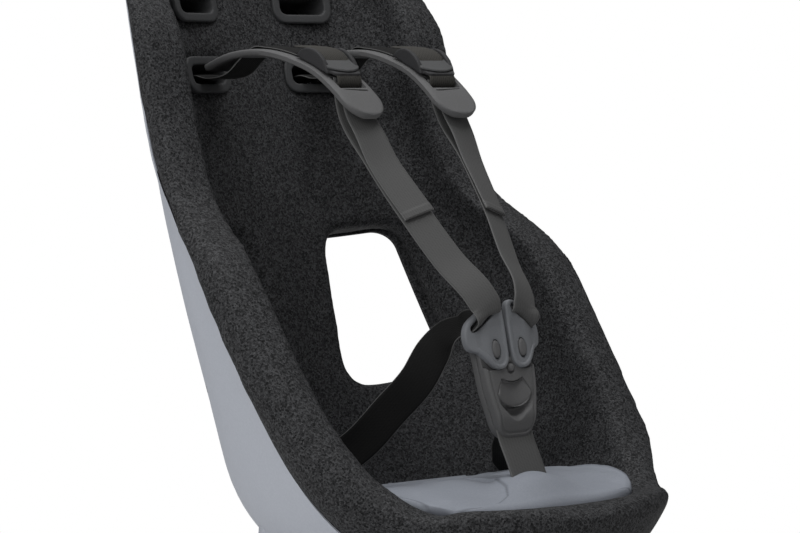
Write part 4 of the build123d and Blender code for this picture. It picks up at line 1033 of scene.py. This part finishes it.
tongue_thickness, tongue_edge = 5.2, 1.2
tongue_dish, tongue_sweep, tongue_set = 0.9, 5.5, 0.2
tongue_drawing = [tongue_outline, strap_opening, stud_opening]
for side, hand in (("left", -1), ("right", 1)):
    plate = moulded_plate("tongue_plate_" + side, tongue_drawing, tongue_thickness, tongue_edge)
    flat_points, flat_normals = read_points(plate)
    across, up, out = (flat_points * 1000).T
    inward = from_outline(np.c_[across, up], tongue_outline)
    dish = tongue_dish * ramp(inward, 2.4, 3.4) * (1 - ramp(up, 44, 52)) * (1 - ramp(across, 24, 30))
    out = out - dish * ramp(flat_normals[:, 2], 0.4, 0.8)
    out = out - tongue_sweep * ramp(across, 17, 38) - tongue_set
    places = buckle_face + np.outer(up, buckle_up) + np.outer(out, buckle_out)
    places[:, 0] = across * hand
    write_points(plate, from_seat_mm(places))
    if hand < 0:
        plate.data.flip_normals()
    dressed(plate, fitting_grey, "seat", "grey_plastic", "buckle_tongue_" + side)


# Rivet and studs: domed plastic heads that show in the buckle's front and in the tongues' dishes.
# Each is pressed into its seat from the front.
for node in ("buckle_rivet", "tongue_stud_left", "tongue_stud_right"):
    dome = piece_from_node(node, node + "_dome")
    mould(dome, 0.0004, 30)
    dressed(dome, buckle_grey, "seat", "buckle_plastic", node)


# Button spring: a small coil of plated steel wire in a pocket of the buckle's rear half.
# It pushes the button out, and here it keeps the CAD's shape.
plated_steel = pebbled_material("plated_steel", 1500, (0.5, 0.5, 0.5), (0.6, 0.6, 0.6), 0.00003)
plated_steel.node_tree.nodes["Principled BSDF"].inputs["Metallic"].default_value = 1.0
spring_coil = piece_from_node("button_spring", "button_spring_coil")
spring_coil.data.shade_smooth()
dressed(spring_coil, plated_steel, "seat", slot_of_node["button_spring"], "button_spring")
spring_points = read_points(spring_coil)[0]
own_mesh(spring_coil)


# Strap keepers: flat plates of plated steel behind and under the shell, which stop the straps' ends.
# Each lies against the plastic, and its strap holds it there.
keepers = ("shoulder_keeper_left", "shoulder_keeper_right", "lap_keeper_left", "lap_keeper_right")
for node in (*keepers, "crotch_keeper"):
    hard_piece(node, plated_steel, 0.0005)


# Leg guards and footrests: moulded channels that hang from the pan and shield the child's legs.
# A tray with a rubber strap slides in each one, and a knob behind holds it at the child's foot.
flute_depth, flute_count = 0.0009, 9
for side in ("left", "right"):
    hard_piece("leg_guard_" + side, shell_plastic, 0.001)
    hard_piece("footrest_" + side, fitting_dark, 0.001)
    hard_piece("foot_strap_" + side, pad_rubber, 0.0006)
    hard_piece("foot_strap_studs_" + side, fitting_dark, 0.0005)
    hard_piece("guard_screws_" + side, plated_steel, 0.0004)
    knob = piece_from_node("footrest_knob_" + side, "footrest_knob_grip_" + side)
    mould(knob, 0.0006, 2)
    knob_points = read_points(knob)[0]
    knob_low, knob_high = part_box("footrest_knob_" + side)
    knob_x = knob_points[:, 0] - (knob_low.x + knob_high.x) / 2
    knob_z = knob_points[:, 2] - (knob_low.z + knob_high.z) / 2
    around = np.arctan2(knob_z, knob_x)
    reach = np.hypot(knob_x, knob_z)
    flute = flute_depth * ramp(np.cos(flute_count * around), 0.1, 0.9) * ramp(reach, 0.0112, 0.0128)
    knob_points[:, 0] -= np.cos(around) * flute
    knob_points[:, 2] -= np.sin(around) * flute
    write_points(knob, knob_points)
    knob_node = "footrest_knob_" + side
    dressed(knob, fitting_dark, nodes[knob_node]["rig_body"], "dark_plastic", knob_node)


# Stem clamp: a coated steel arm bolted under the pan, and a two-part clamp round the bicycle's stem.
# Bolts draw the clamp's halves together, and a lever on a pin locks the arm in it.
coated_steel = pebbled_material(
    "coated_steel", 1300, (0.016, 0.016, 0.017), (0.026, 0.026, 0.028), 0.00009
)
hard_piece("mount_arm", coated_steel, 0.0008)
for node in ("clamp_rear", "clamp_front"):
    hard_piece(node, fitting_dark, 0.001)
hard_piece("lock_lever", fitting_grey, 0.0008)
for node in ("arm_bolts", "clamp_bolts", "clamp_nuts", "lever_pin"):
    hard_piece(node, plated_steel, 0.0004)
